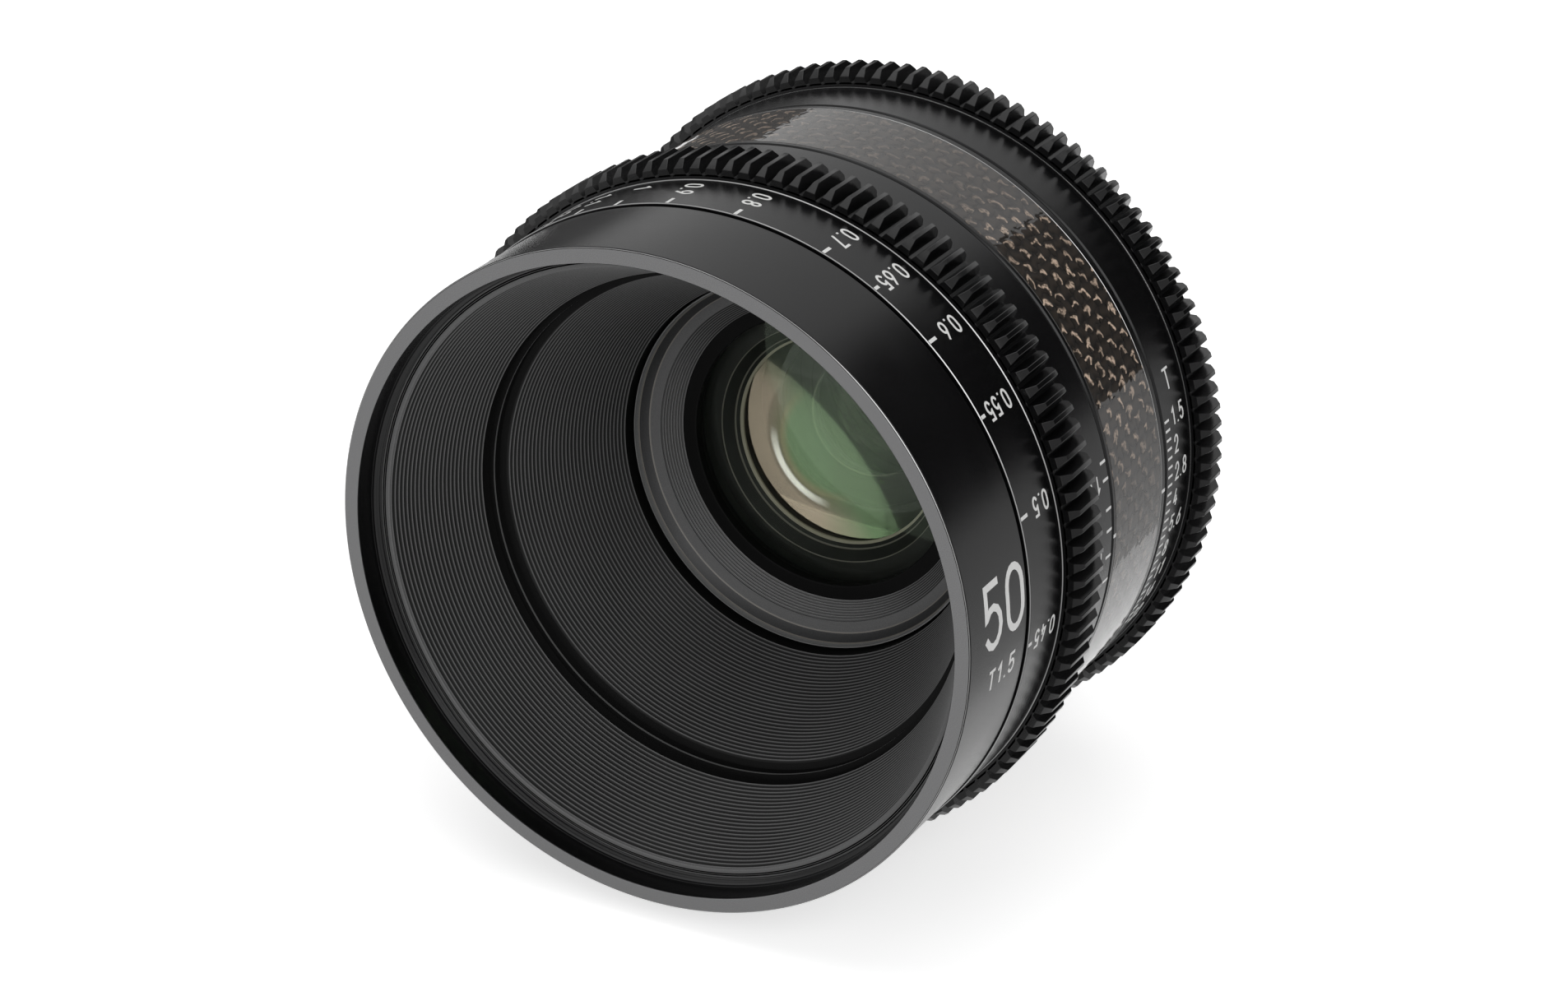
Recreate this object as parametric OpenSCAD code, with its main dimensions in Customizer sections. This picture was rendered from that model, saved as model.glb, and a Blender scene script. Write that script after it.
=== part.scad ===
// Cinema prime lens with a positive lock camera mount, drawn as it comes apart on a bench.
// Millimetres. Each piece is drawn with z running back from the front face of the lens.
// place() then lays the lens level: front towards -Y, mount flange in the plane y = 0, +Z up.
// A positive turn is right handed about +Y: the focus ring to infinity, the iris ring to open.

/* [Outside] */
// Radius of the front ring, half of its clamp diameter
front_r = 47.5; // [46:0.1:52]
// Step from the front ring up to the bands behind it
band_step = 0.3; // [0.1:0.05:1]
// Length of the front ring
front_len = 17.1; // [16.5:0.1:24]
// Length of the focus ring
focus_len = 26.3; // [25:0.1:34]
// Length of the fixed sleeve between the focus and iris rings
sleeve_len = 18; // [16:0.1:26]
// Length of the iris ring
iris_len = 15; // [14.5:0.1:20]
// Length of the rear barrel behind the iris ring
rear_len = 5.2; // [4.6:0.1:9]
// How far the rear barrel stands inside the bands
rear_inset = 2.3; // [1:0.1:2.8]
// Open seam beside each turning ring
seam = 0.3; // [0.2:0.05:0.6]
// Chamfer around the front rim
rim_chamfer = 0.5; // [0.2:0.05:1]
// Small chamfer on the edges of the bands
edge = 0.25; // [0.1:0.05:0.4]

/* [Carbon sleeve] */
// Thickness of the carbon tube
carbon_wall = 0.8; // [0.5:0.1:1.5]
// Width of the index ring ahead of the carbon tube
index_len = 0.9; // [0.6:0.1:2]
// Width of the sleeve's own rim behind the carbon tube
rear_rim = 1.35; // [0.8:0.05:3]

/* [Gears] */
// Module of both gears
gear_module = 0.8; // [0.6:0.1:1]
// Height of the gear's root above the band
gear_step = 0.8; // [0.4:0.1:2]
// Distance from the focus ring's front edge to its gear
focus_gear_at = 10.1; // [6:0.1:14]
// Width of the focus gear
focus_gear_len = 8.5; // [6:0.1:11]
// Width of the iris gear, which ends at the ring's rear edge
iris_gear_len = 6.4; // [5:0.1:9]
// Length of the bevel at the front of each tooth
tooth_bevel_front = 1.4; // [0.5:0.1:2]
// Length of the bevel at the rear of each tooth
tooth_bevel_rear = 1.1; // [0.5:0.1:2]
// Height of the bevel on each tooth
tooth_bevel_h = 0.95; // [0.4:0.05:1.3]

/* [Front opening] */
// Wall of the front ring around the recess
front_wall = 2.3; // [1.5:0.1:3.5]
// Depth of the plain recess inside the rim
recess_depth = 3.4; // [2.5:0.1:5]
// Step from the recess in to the filter thread
filter_step = 0.7; // [0.5:0.1:1.5]
// Length of the filter thread ahead of the front baffle
thread_len = 1.3; // [1:0.1:2.5]
// Thickness of the front baffle's flange
baffle_flange = 2.6; // [1.6:0.1:3.4]
// Step from the filter thread in to the baffle cone
entry_step = 1.3; // [1:0.05:2]
// Wall of both baffles
baffle_wall = 1.2; // [0.9:0.1:1.5]
// Distance from the filter thread's end back to the joint between the baffles
joint_at = 16.8; // [15:0.1:18]
// Distance from the end of the baffle cone back to the nose of the optics
cone_lead = 1.8; // [1.5:0.1:4]
// Length of the collar where the rear baffle goes over the front one
collar_len = 2.6; // [1.8:0.1:3]
// Length of the light trap groove on each side of the joint
trap_len = 1.7; // [1:0.1:2.2]
// Depth of the light trap grooves
trap_depth = 0.8; // [0.4:0.1:1]
// Pitch of the ridges on the baffle cones
ridge_pitch = 0.63; // [0.5:0.01:1.2]
// Depth of the ridges
ridge_depth = 0.34; // [0.1:0.02:0.4]

/* [Barrels] */
// Wall of the turning rings where they bear on the main barrel
ring_wall = 4.34; // [3.8:0.02:5]
// Wall of the main barrel
barrel_wall = 3.4; // [2.6:0.1:3.8]
// Wall of the optics carrier's guide sleeve
carrier_wall = 2.4; // [1.8:0.1:2.8]
// Thickness of the main barrel around its front counterbore
mouth_wall = 1.3; // [1:0.1:1.8]
// Height of the ledge that stops the front ring on the main barrel
ledge_h = 0.5; // [0.3:0.1:0.9]
// Length of that ledge
ledge_len = 1.5; // [1:0.1:2]

/* [Focus drive] */
// Advance of the optics for one whole turn of the focus ring
focus_lead = 12.7; // [10:0.1:14]
// Total turn of the focus ring
focus_turn = 200; // [150:5:220]
// Turn from the drawn position to the near stop
near_turn = 7; // [3:1:40]
// Radius of the cam followers
follower_r = 1.25; // [0.9:0.05:1.4]
// Wall of the cam tube inside the focus ring
cam_wall = 1.5; // [1:0.1:2.2]
// Solid end of the cam tube beyond its slots
cam_end = 2.2; // [1.5:0.1:3]
// Length of guide sleeve ahead of the cam followers
guide_len = 6; // [4:0.1:7]
// Radius of the focus stop pin
stop_r = 1; // [0.6:0.1:1.4]
// Metal between the mouth of the main barrel and the stop pin
stop_edge = 0.8; // [0.5:0.1:2]

/* [Front optics] */
// Radius of the nose of the optics, as a share of the main barrel's bore
nose_share = 0.7; // [0.68:0.005:0.72]
// Distance of the nose behind the focus ring's rear edge
nose_set = 1.5; // [1:0.1:4]
// Depth of the sloping lip inside the nose
nose_lip = 2; // [1:0.1:3]
// Depth of the dish behind the lip
dish_depth = 3; // [2:0.1:3.5]
// Width of the land between the lip and the dished cone
land_w = 1.5; // [1:0.1:2]
// Depth of the land
land_drop = 0.5; // [0.3:0.1:0.8]
// Floor of the nose ring behind the dish
dish_floor = 1; // [0.6:0.1:1.6]
// Width of the lip
lip_w = 1.6; // [1:0.1:2]
// Width of the dished face, from the nose in to the retaining ring
dish_w = 5.4; // [4.5:0.1:6]
// Width of the front retaining ring
retainer_w = 2.2; // [1.8:0.1:2.6]
// How far the front glass reaches under the retaining ring
glass1_lap = 0.8; // [0.6:0.1:1.6]
// Length of the front retaining ring
front_retainer_len = 1.85; // [1.2:0.05:3]
// Step from the front glass in to the second and third glass
glass2_step = 4; // [3.5:0.1:5]
// Step on the front cell that rests against the carrier's web
cell_step = 1.5; // [1:0.1:3]
// Distance from the first glass back to the carrier's web
web_set = 2.3; // [1.5:0.1:3]
// Free space between the baffle's tail and the web at the near stop
tail_gap = 0.75; // [0.4:0.05:1.5]

/* [Glass] */
// Curve of the first glass, front
curve1_front = 58; // [45:1:90]
// Curve of the first glass, rear
curve1_rear = 220; // [150:10:400]
// Thickness of the first glass at its middle
glass1_t = 4.6; // [4.2:0.1:6]
// Curve of the second glass, front
curve2_front = 32; // [30:1:45]
// Curve of the cement joint between the second and third glass
curve2_rear = 90; // [70:1:140]
// Thickness of the second glass at its middle
glass2_t = 4.5; // [4.2:0.1:5.5]
// Curve of the third glass, rear
curve3_rear = 21; // [19:0.5:26]
// Thickness of the third glass at its middle
glass3_t = 1.4; // [1:0.1:2.2]
// Curve of the fourth glass, front
curve4_front = 22; // [20:0.5:28]
// Curve of the cement joint between the fourth and fifth glass
curve4_rear = 40; // [34:1:60]
// Thickness of the fourth glass at its middle
glass4_t = 1.5; // [1:0.1:2.2]
// Curve of the fifth glass, rear
curve5_rear = 34; // [30:1:45]
// Thickness of the fifth glass at its middle
glass5_t = 6.6; // [6.4:0.1:8]
// Curve of the sixth glass, front
curve6_front = 110; // [80:1:160]
// Curve of the sixth glass, rear
curve6_rear = 52; // [46:1:80]
// Thickness of the sixth glass at its middle
glass6_t = 4.6; // [4.4:0.1:6]
// Curve of the seventh glass, front
curve7_front = 70; // [55:1:110]
// Curve of the seventh glass, rear
curve7_rear = 200; // [120:5:300]
// Thickness of the seventh glass at its middle
glass7_t = 4.2; // [3.6:0.1:5]
// Air between neighbouring glasses
air = 0.45; // [0.3:0.05:1]
// Layer of cement between joined glasses
cement = 0.02; // [0.01:0.01:0.05]

/* [Rear optics] */
// How far the fourth and fifth glass reach beyond the open iris
glass4_lap = 0.9; // [0.7:0.1:1.5]
// How far the sixth and seventh glass reach beyond the open iris
glass6_lap = 2.4; // [2:0.1:3.4]
// Space between the rear cell and the mount's spigot
rear_gap = 1.5; // [1:0.1:3]
// Thickness of the rear cell's flange
cell_flange = 1.6; // [1.2:0.1:2.5]
// Reach of the rear cell's flange beyond its tube
cell_flange_w = 5.6; // [5:0.1:6.5]
// Length of the rear retaining ring
rear_retainer_len = 2; // [1.4:0.1:3]
// Rim of the rear cell behind its retaining ring
rear_lip = 1; // [0.5:0.1:2]
// Width of the seats that hold the glasses by their rims
seat_w = 1.1; // [0.8:0.1:1.5]

/* [Iris] */
// How far the second and third glass reach beyond the open iris
glass2_lap = 3.6; // [3.3:0.1:4.5]
// Radius of the iris when closed
closed_r = 0.95; // [0.7:0.05:2]
// Width of a blade
blade_w = 6.9; // [6:0.1:7.5]
// Span of a blade around the iris
blade_span = 118; // [90:1:125]
// Thickness of a blade
blade_t = 0.1; // [0.06:0.01:0.15]
// Air between blades, one above the other
blade_gap = 0.05; // [0.04:0.01:0.1]
// Distance from the open iris out to the blade pivots
pivot_step = 11.4; // [10.5:0.1:12.5]
// Distance from a blade's pivot to its drive pin
arm = 5; // [4:0.1:5.5]
// Radius of the blade pivots
pivot_pin_r = 0.5; // [0.3:0.05:0.6]
// Radius of the blade drive pins
drive_pin_r = 0.4; // [0.3:0.05:0.45]
// Half width of the ear that carries a blade's two pins
ear_w = 1; // [0.9:0.05:1.2]
// Length of a blade's pins inside their hole and slot
pin_reach = 1.2; // [0.8:0.1:1.2]
// Space between the parts of the iris, one behind the other
stack_gap = 0.1; // [0.06:0.01:0.2]
// Total turn of the iris ring
iris_turn = 42; // [34:1:46]
// Turn from the drawn position to fully open
open_turn = 12; // [4:1:30]
// Thickness of the iris cam ring
cam_ring_t = 2.4; // [2.2:0.1:3]
// Width of the iris cam ring outside the circle of pivots
cam_outer = 5.05; // [4.6:0.05:6]
// Width of the iris cam ring inside the circle of pivots
cam_inner = 1.2; // [1:0.1:3]
// Thickness of the iris cover
cover_t = 0.6; // [0.5:0.1:1]
// Step that seats the iris cover in its housing
cover_step = 0.5; // [0.3:0.1:0.8]
// Thickness of the iris base plate
plate_t = 1.5; // [1.2:0.1:2.5]
// Wall of the iris housing
housing_wall = 1.9; // [1.4:0.1:2.5]
// Reach of the iris housing's flange beyond its wall
housing_flange_w = 4.2; // [4:0.1:4.8]
// Thickness of the iris housing's flange
housing_flange_t = 1.5; // [1.2:0.1:2]
// Radius of the pin that joins the iris ring to the cam ring
link_r = 0.9; // [0.6:0.05:1]
// Reach of the link pin into the iris ring
link_reach = 2.1; // [1:0.1:2.6]
// Depth of the link pin's hole in the cam ring
link_depth = 1.5; // [1.2:0.1:1.6]
// Thickness of the web between the carrier's sleeve and the front cell
web_t = 4; // [3.4:0.1:4.5]

/* [Camera mount] */
// Radius of the mount's spigot
spigot_r = 26.985; // [26.5:0.005:27]
// Length of the spigot behind the flange
spigot_len = 10; // [8:0.1:14]
// Wall of the spigot
spigot_wall = 2.985; // [2:0.005:3.4]
// Reach of the four lugs beyond the spigot
lug_w = 7.765; // [6.5:0.005:8]
// Thickness of the lugs
lug_t = 3; // [2:0.1:4]
// Open angle between neighbouring lugs
lug_gap = 38; // [30:1:45]
// Reach of the neck ahead of the lugs beyond the spigot
neck_w = 4.515; // [4:0.005:5.5]
// Length of the neck
neck_len = 2.5; // [2:0.1:5]
// Reach of the mount's base plate beyond the lugs
base_w = 4.75; // [4.2:0.05:5.5]
// Thickness of the mount's base plate
base_t = 1.5; // [1.4:0.1:3]
// Thickness of the shim under the mount
shim_t = 0.2; // [0.05:0.05:0.5]
// Width of the shim, and of the seat under it
shim_w = 9.5; // [8.5:0.1:10.5]
// Width of the locating notch in one lug
notch_w = 3.2; // [2:0.1:4]
// Depth of the locating notch
notch_depth = 2; // [1:0.1:2.5]

/* [Screws] */
// Radius of the screw shanks
shank_r = 1; // [0.7:0.05:1.2]
// Radius of the countersunk heads
head_r = 1.9; // [1.5:0.1:2.2]
// Metal left outside the heads of the mount screws
screw_edge = 1; // [0.6:0.1:1.2]
// Length of the mount screws
mount_screw_len = 3.6; // [3:0.1:3.9]
// Length of the sleeve screws
sleeve_screw_len = 5; // [4.6:0.1:6]
// Length of the screws that hold the iris housing and the rear cell
inner_screw_len = 2.8; // [2.4:0.1:3]
// Width across the flats of the drive recess in a screw head
hex_w = 1.3; // [0.9:0.1:1.5]

/* [Fits] */
// Radial clearance of turning rings
run_gap = 0.06; // [0.03:0.01:0.1]
// Radial clearance of sliding sleeves and followers
slide_gap = 0.06; // [0.03:0.01:0.1]
// Clearance of pieces that are fixed together
seat_gap = 0.02; // [0.01:0.01:0.05]
// Free space around pieces that pass each other
free_gap = 0.3; // [0.25:0.05:0.5]

/* [Hidden] */
NODES = [
    "front_ring", "front_baffle", "rear_baffle", "main_barrel", "focus_stop_pin",
    "fixed_sleeve", "sleeve_screws", "carbon_sleeve", "index_ring",
    "rear_barrel", "mount_shim", "camera_mount", "mount_screws",
    "focus_ring", "focus_cam", "iris_ring",
    "optics_carrier", "cam_followers", "nose_ring", "front_cell", "front_retaining_ring",
    "glass_1", "glass_2", "glass_3", "iris_housing", "housing_screws", "iris_cover",
    "rear_cell", "rear_cell_screws", "glass_4", "glass_5", "glass_6", "glass_spacer",
    "glass_7", "rear_retaining_ring", "iris_cam_ring", "iris_link_pin",
    "iris_blade_01", "iris_blade_02", "iris_blade_03", "iris_blade_04", "iris_blade_05",
    "iris_blade_06", "iris_blade_07", "iris_blade_08", "iris_blade_09", "iris_blade_10",
    "iris_blade_11"
];
$fn = 180;
curve_fn = 480;
small_fn = 48;
blade_count = 11;
first_blade = len(NODES) - blade_count;
follower_count = 3;
screw_count = 3;
lug_count = 4;
overcut = 1;
gear_angle = 20;
stop_angle = 60;
link_angle = 90;
slot_step = 5;

// Places along the axis, counted back from the front face
focus_z = front_len + seam;
focus_end = focus_z + focus_len;
sleeve_z = focus_end + seam;
sleeve_end = sleeve_z + sleeve_len;
iris_z = sleeve_end + seam;
iris_end = iris_z + iris_len;
rear_z = iris_end + seam;
rear_end = rear_z + rear_len;
base_z = rear_end + shim_t;
neck_z = base_z + base_t;
lug_z = neck_z + neck_len;
flange_z = lug_z + lug_t;
spigot_end = flange_z + spigot_len;

// Radii from the outside in
band_r = front_r + band_step;
barrel_r = band_r - ring_wall - run_gap;
ring_bore = barrel_r + run_gap;
barrel_seat = barrel_r + seat_gap;
barrel_bore = barrel_r - barrel_wall;
carrier_r = barrel_bore - slide_gap;
carrier_bore = carrier_r - carrier_wall;
recess_r = front_r - front_wall;
thread_r = recess_r - filter_step;
rear_r = band_r - rear_inset;
carbon_bore = band_r - carbon_wall;

// Radii of the camera mount from the spigot out
lug_r = spigot_r + lug_w;
neck_r = spigot_r + neck_w;
base_r = lug_r + base_w;
throat_r = base_r - shim_w;

// Radii of the optics and the iris from the nose in
nose_r = nose_share * barrel_bore;
dish_r = nose_r - dish_w;
clear_r = dish_r - retainer_w;
glass1_r = clear_r + glass1_lap;
glass2_r = glass1_r - glass2_step;
front_cell_r = nose_r - cell_step;
open_r = glass2_r - glass2_lap;
glass4_r = open_r + glass4_lap;
glass6_r = open_r + glass6_lap;
rear_cell_r = spigot_r - spigot_wall - rear_gap;
pivot_r = open_r + pivot_step;
cam_ring_r = pivot_r + cam_outer;
cam_ring_bore = pivot_r - cam_inner;

// Gear of a whole number of teeth whose root stands above the band
teeth = round(2 * (band_r + gear_step) / gear_module + 2.5);
pitch_r = gear_module * teeth / 2;
tip_r = pitch_r + gear_module;
root_r = pitch_r - 1.25 * gear_module;
focus_gear_z = focus_z + focus_gear_at;
iris_gear_z = iris_end - iris_gear_len;

// Focus drive
far_turn = focus_turn - near_turn;
focus_travel = focus_lead * focus_turn / 360;
near_travel = focus_lead * near_turn / 360;
follower_slot = follower_r + slide_gap;
cam_len = focus_travel + 2 * (follower_slot + cam_end);
cam_z = focus_end - cam_len;
cam_r = ring_bore + cam_wall;
follower_z = cam_z + cam_end + follower_slot + near_travel;
carrier_z = follower_z - guide_len;
follower_tip = cam_r - free_gap;
stop_margin = asin((stop_r + free_gap / 2) / barrel_r);

// Front baffle and main barrel mouth
thread_end = recess_depth + thread_len;
flange_end = thread_end + baffle_flange;
mouth_r = barrel_r - mouth_wall;
ledge_r = barrel_r - ledge_h;
entry_r = thread_r - entry_step;
joint_z = thread_end + joint_at;
nose_z = focus_end + nose_set;
cone_end = nose_z - cone_lead;
tail_bore = nose_r + free_gap;
cone_slope = (entry_r - tail_bore) / (cone_end - thread_end);
barrel_z = thread_end + (entry_r + baffle_wall + free_gap - mouth_r) / cone_slope;
ledge_z = barrel_z - ledge_len;
collar_z = joint_z - collar_len;
collar_r = cone_r(collar_z) + baffle_wall - free_gap;
rear_ridges = ridges(joint_z + trap_len + edge, cone_end);
mouth_end = joint_z + baffle_wall + free_gap;
stop_z = mouth_end + stop_r + stop_edge;

// Front optics
lip_end = nose_z + nose_lip;
dish_end = lip_end + dish_depth;
front_cell_z = dish_end + dish_floor;
glass1_rim = dish_end + front_retainer_len;
glass1_z = glass1_rim - sag(curve1_front, glass1_r);
glass1_back = glass1_z + glass1_t;
glass1_end = glass1_back + sag(curve1_rear, glass1_r);
glass2_z = glass1_back + air;
glass2_back = glass2_z + glass2_t;
glass2_rim = glass2_z + sag(curve2_front, glass2_r);
glass2_end = glass2_back + sag(curve2_rear, glass2_r);
glass3_z = glass2_back + cement;
glass3_back = glass3_z + glass3_t;
glass3_clear = open_r - free_gap;
glass3_end = glass3_back + sag(curve3_rear, glass3_clear);
web_z = glass1_end + web_set;
web_end = web_z + web_t;
tail_end = web_z - near_travel - tail_gap;

// Iris, from the cover back to the base plate
front_cell_end = glass3_end + stack_gap;
cover_z = front_cell_end + stack_gap;
cam_ring_z = cover_z + cover_t + stack_gap;
cam_ring_end = cam_ring_z + cam_ring_t;
blade_z = cam_ring_end + stack_gap;
blade_pitch = blade_t + blade_gap;
plate_z = blade_z + blade_count * blade_pitch + stack_gap;
plate_end = plate_z + plate_t;
housing_bore = cam_ring_r + run_gap;
plate_bore = open_r + free_gap;
housing_r = housing_bore + housing_wall;
housing_flange_r = housing_r + housing_flange_w;
cover_r = housing_bore + cover_step;
blade_turn = 2 * asin((open_r - closed_r) / (2 * pivot_r));
link_z = cam_ring_z + cam_ring_t / 2;
link_tip = ring_bore + link_reach;
link_root = cam_ring_r - link_depth;
link_slot = link_r + slide_gap;
close_turn = iris_turn - open_turn;
link_margin = asin((link_slot + free_gap) / housing_bore);
window_margin = asin((link_slot + free_gap) / barrel_bore);

// Rear optics
glass4_rim = plate_end + free_gap;
glass4_clear = open_r - free_gap;
glass4_z = glass4_rim + sag(curve4_front, glass4_clear);
glass4_back = glass4_z + glass4_t;
glass4_end = glass4_back + sag(curve4_rear, glass4_r);
glass5_z = glass4_back + cement;
glass5_back = glass5_z + glass5_t;
glass5_end = glass5_back - sag(curve5_rear, glass4_r);
glass6_z = glass5_back + air;
glass6_rim = glass6_z + sag(curve6_front, glass6_r);
glass6_back = glass6_z + glass6_t;
glass6_end = glass6_back - sag(curve6_rear, glass6_r);
glass7_z = glass6_back + air;
glass7_rim = glass7_z + sag(curve7_front, glass6_r);
glass7_back = glass7_z + glass7_t;
glass7_end = glass7_back - sag(curve7_rear, glass6_r);
rear_cell_end = glass7_end + rear_retainer_len + rear_lip;
glass2_seat = glass2_r - seat_w;
glass4_seat = glass4_r - seat_w;
glass6_seat = glass6_r - seat_w;
cell_flange_r = rear_cell_r + cell_flange_w;
cell_flange_end = plate_end + cell_flange;

// Screw circles
mount_screw_r = base_r - head_r - screw_edge;
housing_screw_r = housing_r + housing_flange_w / 2;
cell_screw_r = rear_cell_r + cell_flange_w / 2;
sleeve_screw_z = (sleeve_z + sleeve_end) / 2;
head_len = head_r - shank_r;

black = [0.05, 0.05, 0.055];
matte = [0.03, 0.03, 0.03];
steel = [0.72, 0.72, 0.74];
brass = [0.72, 0.56, 0.28];
glass_tint = [0.45, 0.62, 0.52, 0.5];

// Depth of a curve of radius c at the distance r from the axis
function sag(c, r) = c - sqrt(c * c - r * r);

// Depth of a glass at the distance r from the axis: its bulging front, and its bulging back
function front_at(z, c, r) = z + sag(c, r) - seat_gap;
function back_at(z, c, r) = z - sag(c, r) + seat_gap;

// Radius of the baffle cone at the depth z
function cone_r(z) = entry_r - cone_slope * (z - thread_end);

// A point turned by the angle a about the axis
function turned(p, a) = [p.x * cos(a) - p.y * sin(a), p.x * sin(a) + p.y * cos(a)];

// Ridged line along the baffle cone from z0 to z1, as points of radius and depth
function ridges(z0, z1) = let (n = floor((z1 - z0) / ridge_pitch), step = (z1 - z0) / n)
    [for (i = [0 : n - 1], k = [0, 1])
        [cone_r(z0 + (i + k / 2) * step) + k * ridge_depth, z0 + (i + k / 2) * step]];

// Drive pin of the blade at angle 0, seen from the cam ring, for a closing of 0 to 1
function slot_point(u) = turned(
    [pivot_r + arm * sin(blade_turn * u), arm * cos(blade_turn * u)], iris_turn * u - open_turn);

// Middle of the circle through three points
function circle_middle(a, b, c) = let (
    d = 2 * (a.x * (b.y - c.y) + b.x * (c.y - a.y) + c.x * (a.y - b.y)),
    x = ((a * a) * (b.y - c.y) + (b * b) * (c.y - a.y) + (c * c) * (a.y - b.y)) / d,
    y = ((a * a) * (c.x - b.x) + (b * b) * (a.x - c.x) + (c * c) * (b.x - a.x)) / d) [x, y];

module place() translate([0, -flange_z, 0]) rotate([-90, 0, 0]) children();

module around(count) for (i = [0 : count - 1]) rotate([0, 0, 360 * i / count]) children();

module revolve(points) rotate_extrude() polygon(points);

module tube(r0, r1, z0, z1) revolve([[r0, z0], [r1, z0], [r1, z1], [r0, z1]]);

// Part of a tube from the angle a0 to the angle a1
module tube_arc(r0, r1, z0, z1, a0, a1) rotate([0, 0, a0]) rotate_extrude(angle = a1 - a0)
    polygon([[r0, z0], [r1, z0], [r1, z1], [r0, z1]]);

// Round bar that stands out from the axis along +X, from r0 to r1
module radial_pin(r, r0, r1, z) translate([r0, 0, z]) rotate([0, 90, 0])
    cylinder(r = r, h = r1 - r0, $fn = small_fn);

// Slot along the axis with round ends, cut outward along +X
module radial_slot(r, r0, r1, z0, z1) {
    radial_pin(r, r0, r1, z0);
    radial_pin(r, r0, r1, z1);
    translate([r0, -r, z0]) cube([r1 - r0, 2 * r, z1 - z0]);
}

// Countersunk screw that points along +Z with its head flush at the origin
module screw(length) difference() {
    union() {
        cylinder(r1 = head_r, r2 = shank_r, h = head_len, $fn = small_fn);
        cylinder(r = shank_r, h = length, $fn = small_fn);
    }
    translate([0, 0, -overcut]) cylinder(d = hex_w / cos(30), h = overcut + head_len, $fn = 6);
}

// Hole for the screw above
module screw_hole(length) {
    translate([0, 0, -overcut]) cylinder(r = head_r + seat_gap, h = overcut, $fn = small_fn);
    cylinder(r1 = head_r + seat_gap, r2 = shank_r + seat_gap, h = head_len, $fn = small_fn);
    cylinder(r = shank_r + seat_gap, h = length + seat_gap, $fn = small_fn);
}

// Band of a turning ring with chamfered edges
module band(z0, z1) revolve([
    [ring_bore, z0], [band_r - edge, z0], [band_r, z0 + edge],
    [band_r, z1 - edge], [band_r - edge, z1], [ring_bore, z1]]);

// Ring of straight teeth with a bevel at each end
module gear(z0, z1) intersection() {
    translate([0, 0, z0]) linear_extrude(height = z1 - z0) polygon([
        for (i = [0 : teeth - 1], k = [0 : 3]) let (
            low = k == 0 || k == 3,
            r = low ? root_r : tip_r,
            half = gear_module * PI / 4 - (r - pitch_r) * tan(gear_angle),
            a = 360 * i / teeth + (k < 2 ? -1 : 1) * half / r * 180 / PI)
        [r * cos(a), r * sin(a)]]);
    revolve([
        [ring_bore, z0], [tip_r - tooth_bevel_h, z0], [tip_r, z0 + tooth_bevel_front],
        [tip_r, z1 - tooth_bevel_rear], [tip_r - tooth_bevel_h, z1], [ring_bore, z1]]);
}

// Lens between two curves. A positive curve has its middle behind it.
module glass(z0, c0, z1, c1, r, front, back) difference() {
    intersection() {
        translate([0, 0, front]) cylinder(r = r, h = back - front);
        if (c0 > 0) translate([0, 0, z0 + c0]) sphere(r = c0, $fn = curve_fn);
        else translate([0, 0, front]) cylinder(r = r + overcut, h = back - front);
        if (c1 < 0) translate([0, 0, z1 + c1]) sphere(r = -c1, $fn = curve_fn);
        else translate([0, 0, front]) cylinder(r = r + overcut, h = back - front);
    }
    if (c0 < 0) translate([0, 0, z0 + c0]) sphere(r = -c0, $fn = curve_fn);
    if (c1 > 0) translate([0, 0, z1 + c1]) sphere(r = c1, $fn = curve_fn);
}

module front_ring() color(black) place() revolve([
    [recess_r, 0], [front_r - rim_chamfer, 0], [front_r, rim_chamfer],
    [front_r, front_len - edge], [front_r - edge, front_len], [barrel_seat, front_len],
    [barrel_seat, barrel_z], [ledge_r, barrel_z], [ledge_r, ledge_z], [barrel_seat, ledge_z],
    [barrel_seat, flange_end], [thread_r, flange_end], [thread_r, recess_depth], [recess_r, recess_depth]]);

module front_baffle() color(matte) place() revolve(concat(
    ridges(thread_end, joint_z - trap_len - edge), [
    [cone_r(joint_z - trap_len - edge), joint_z - trap_len - edge],
    [cone_r(joint_z - trap_len) + trap_depth, joint_z - trap_len],
    [cone_r(joint_z) + trap_depth, joint_z - edge],
    [cone_r(joint_z), joint_z - edge], [cone_r(joint_z), joint_z],
    [collar_r, joint_z], [collar_r, collar_z], [cone_r(collar_z) + baffle_wall, collar_z],
    [min(cone_r(flange_end) + baffle_wall, barrel_r), flange_end],
    [thread_r - seat_gap, flange_end], [thread_r - seat_gap, thread_end]]));

module rear_baffle() color(matte) place() revolve(concat([
    [collar_r + seat_gap, collar_z], [collar_r + baffle_wall, collar_z],
    [collar_r + baffle_wall, joint_z + baffle_wall],
    [cone_r(joint_z + trap_len) + trap_depth + baffle_wall, joint_z + baffle_wall],
    [cone_r(joint_z + trap_len) + baffle_wall, joint_z + trap_len + baffle_wall],
    [tail_bore + baffle_wall, cone_end], [tail_bore + baffle_wall, tail_end],
    [tail_bore, tail_end], [tail_bore, cone_end]],
    [for (i = [len(rear_ridges) - 1 : -1 : 0]) rear_ridges[i]], [
    [cone_r(joint_z + trap_len) + trap_depth, joint_z + trap_len],
    [cone_r(joint_z) + trap_depth, joint_z + edge],
    [cone_r(joint_z), joint_z + edge], [cone_r(joint_z), joint_z], [collar_r + seat_gap, joint_z]]));

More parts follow.
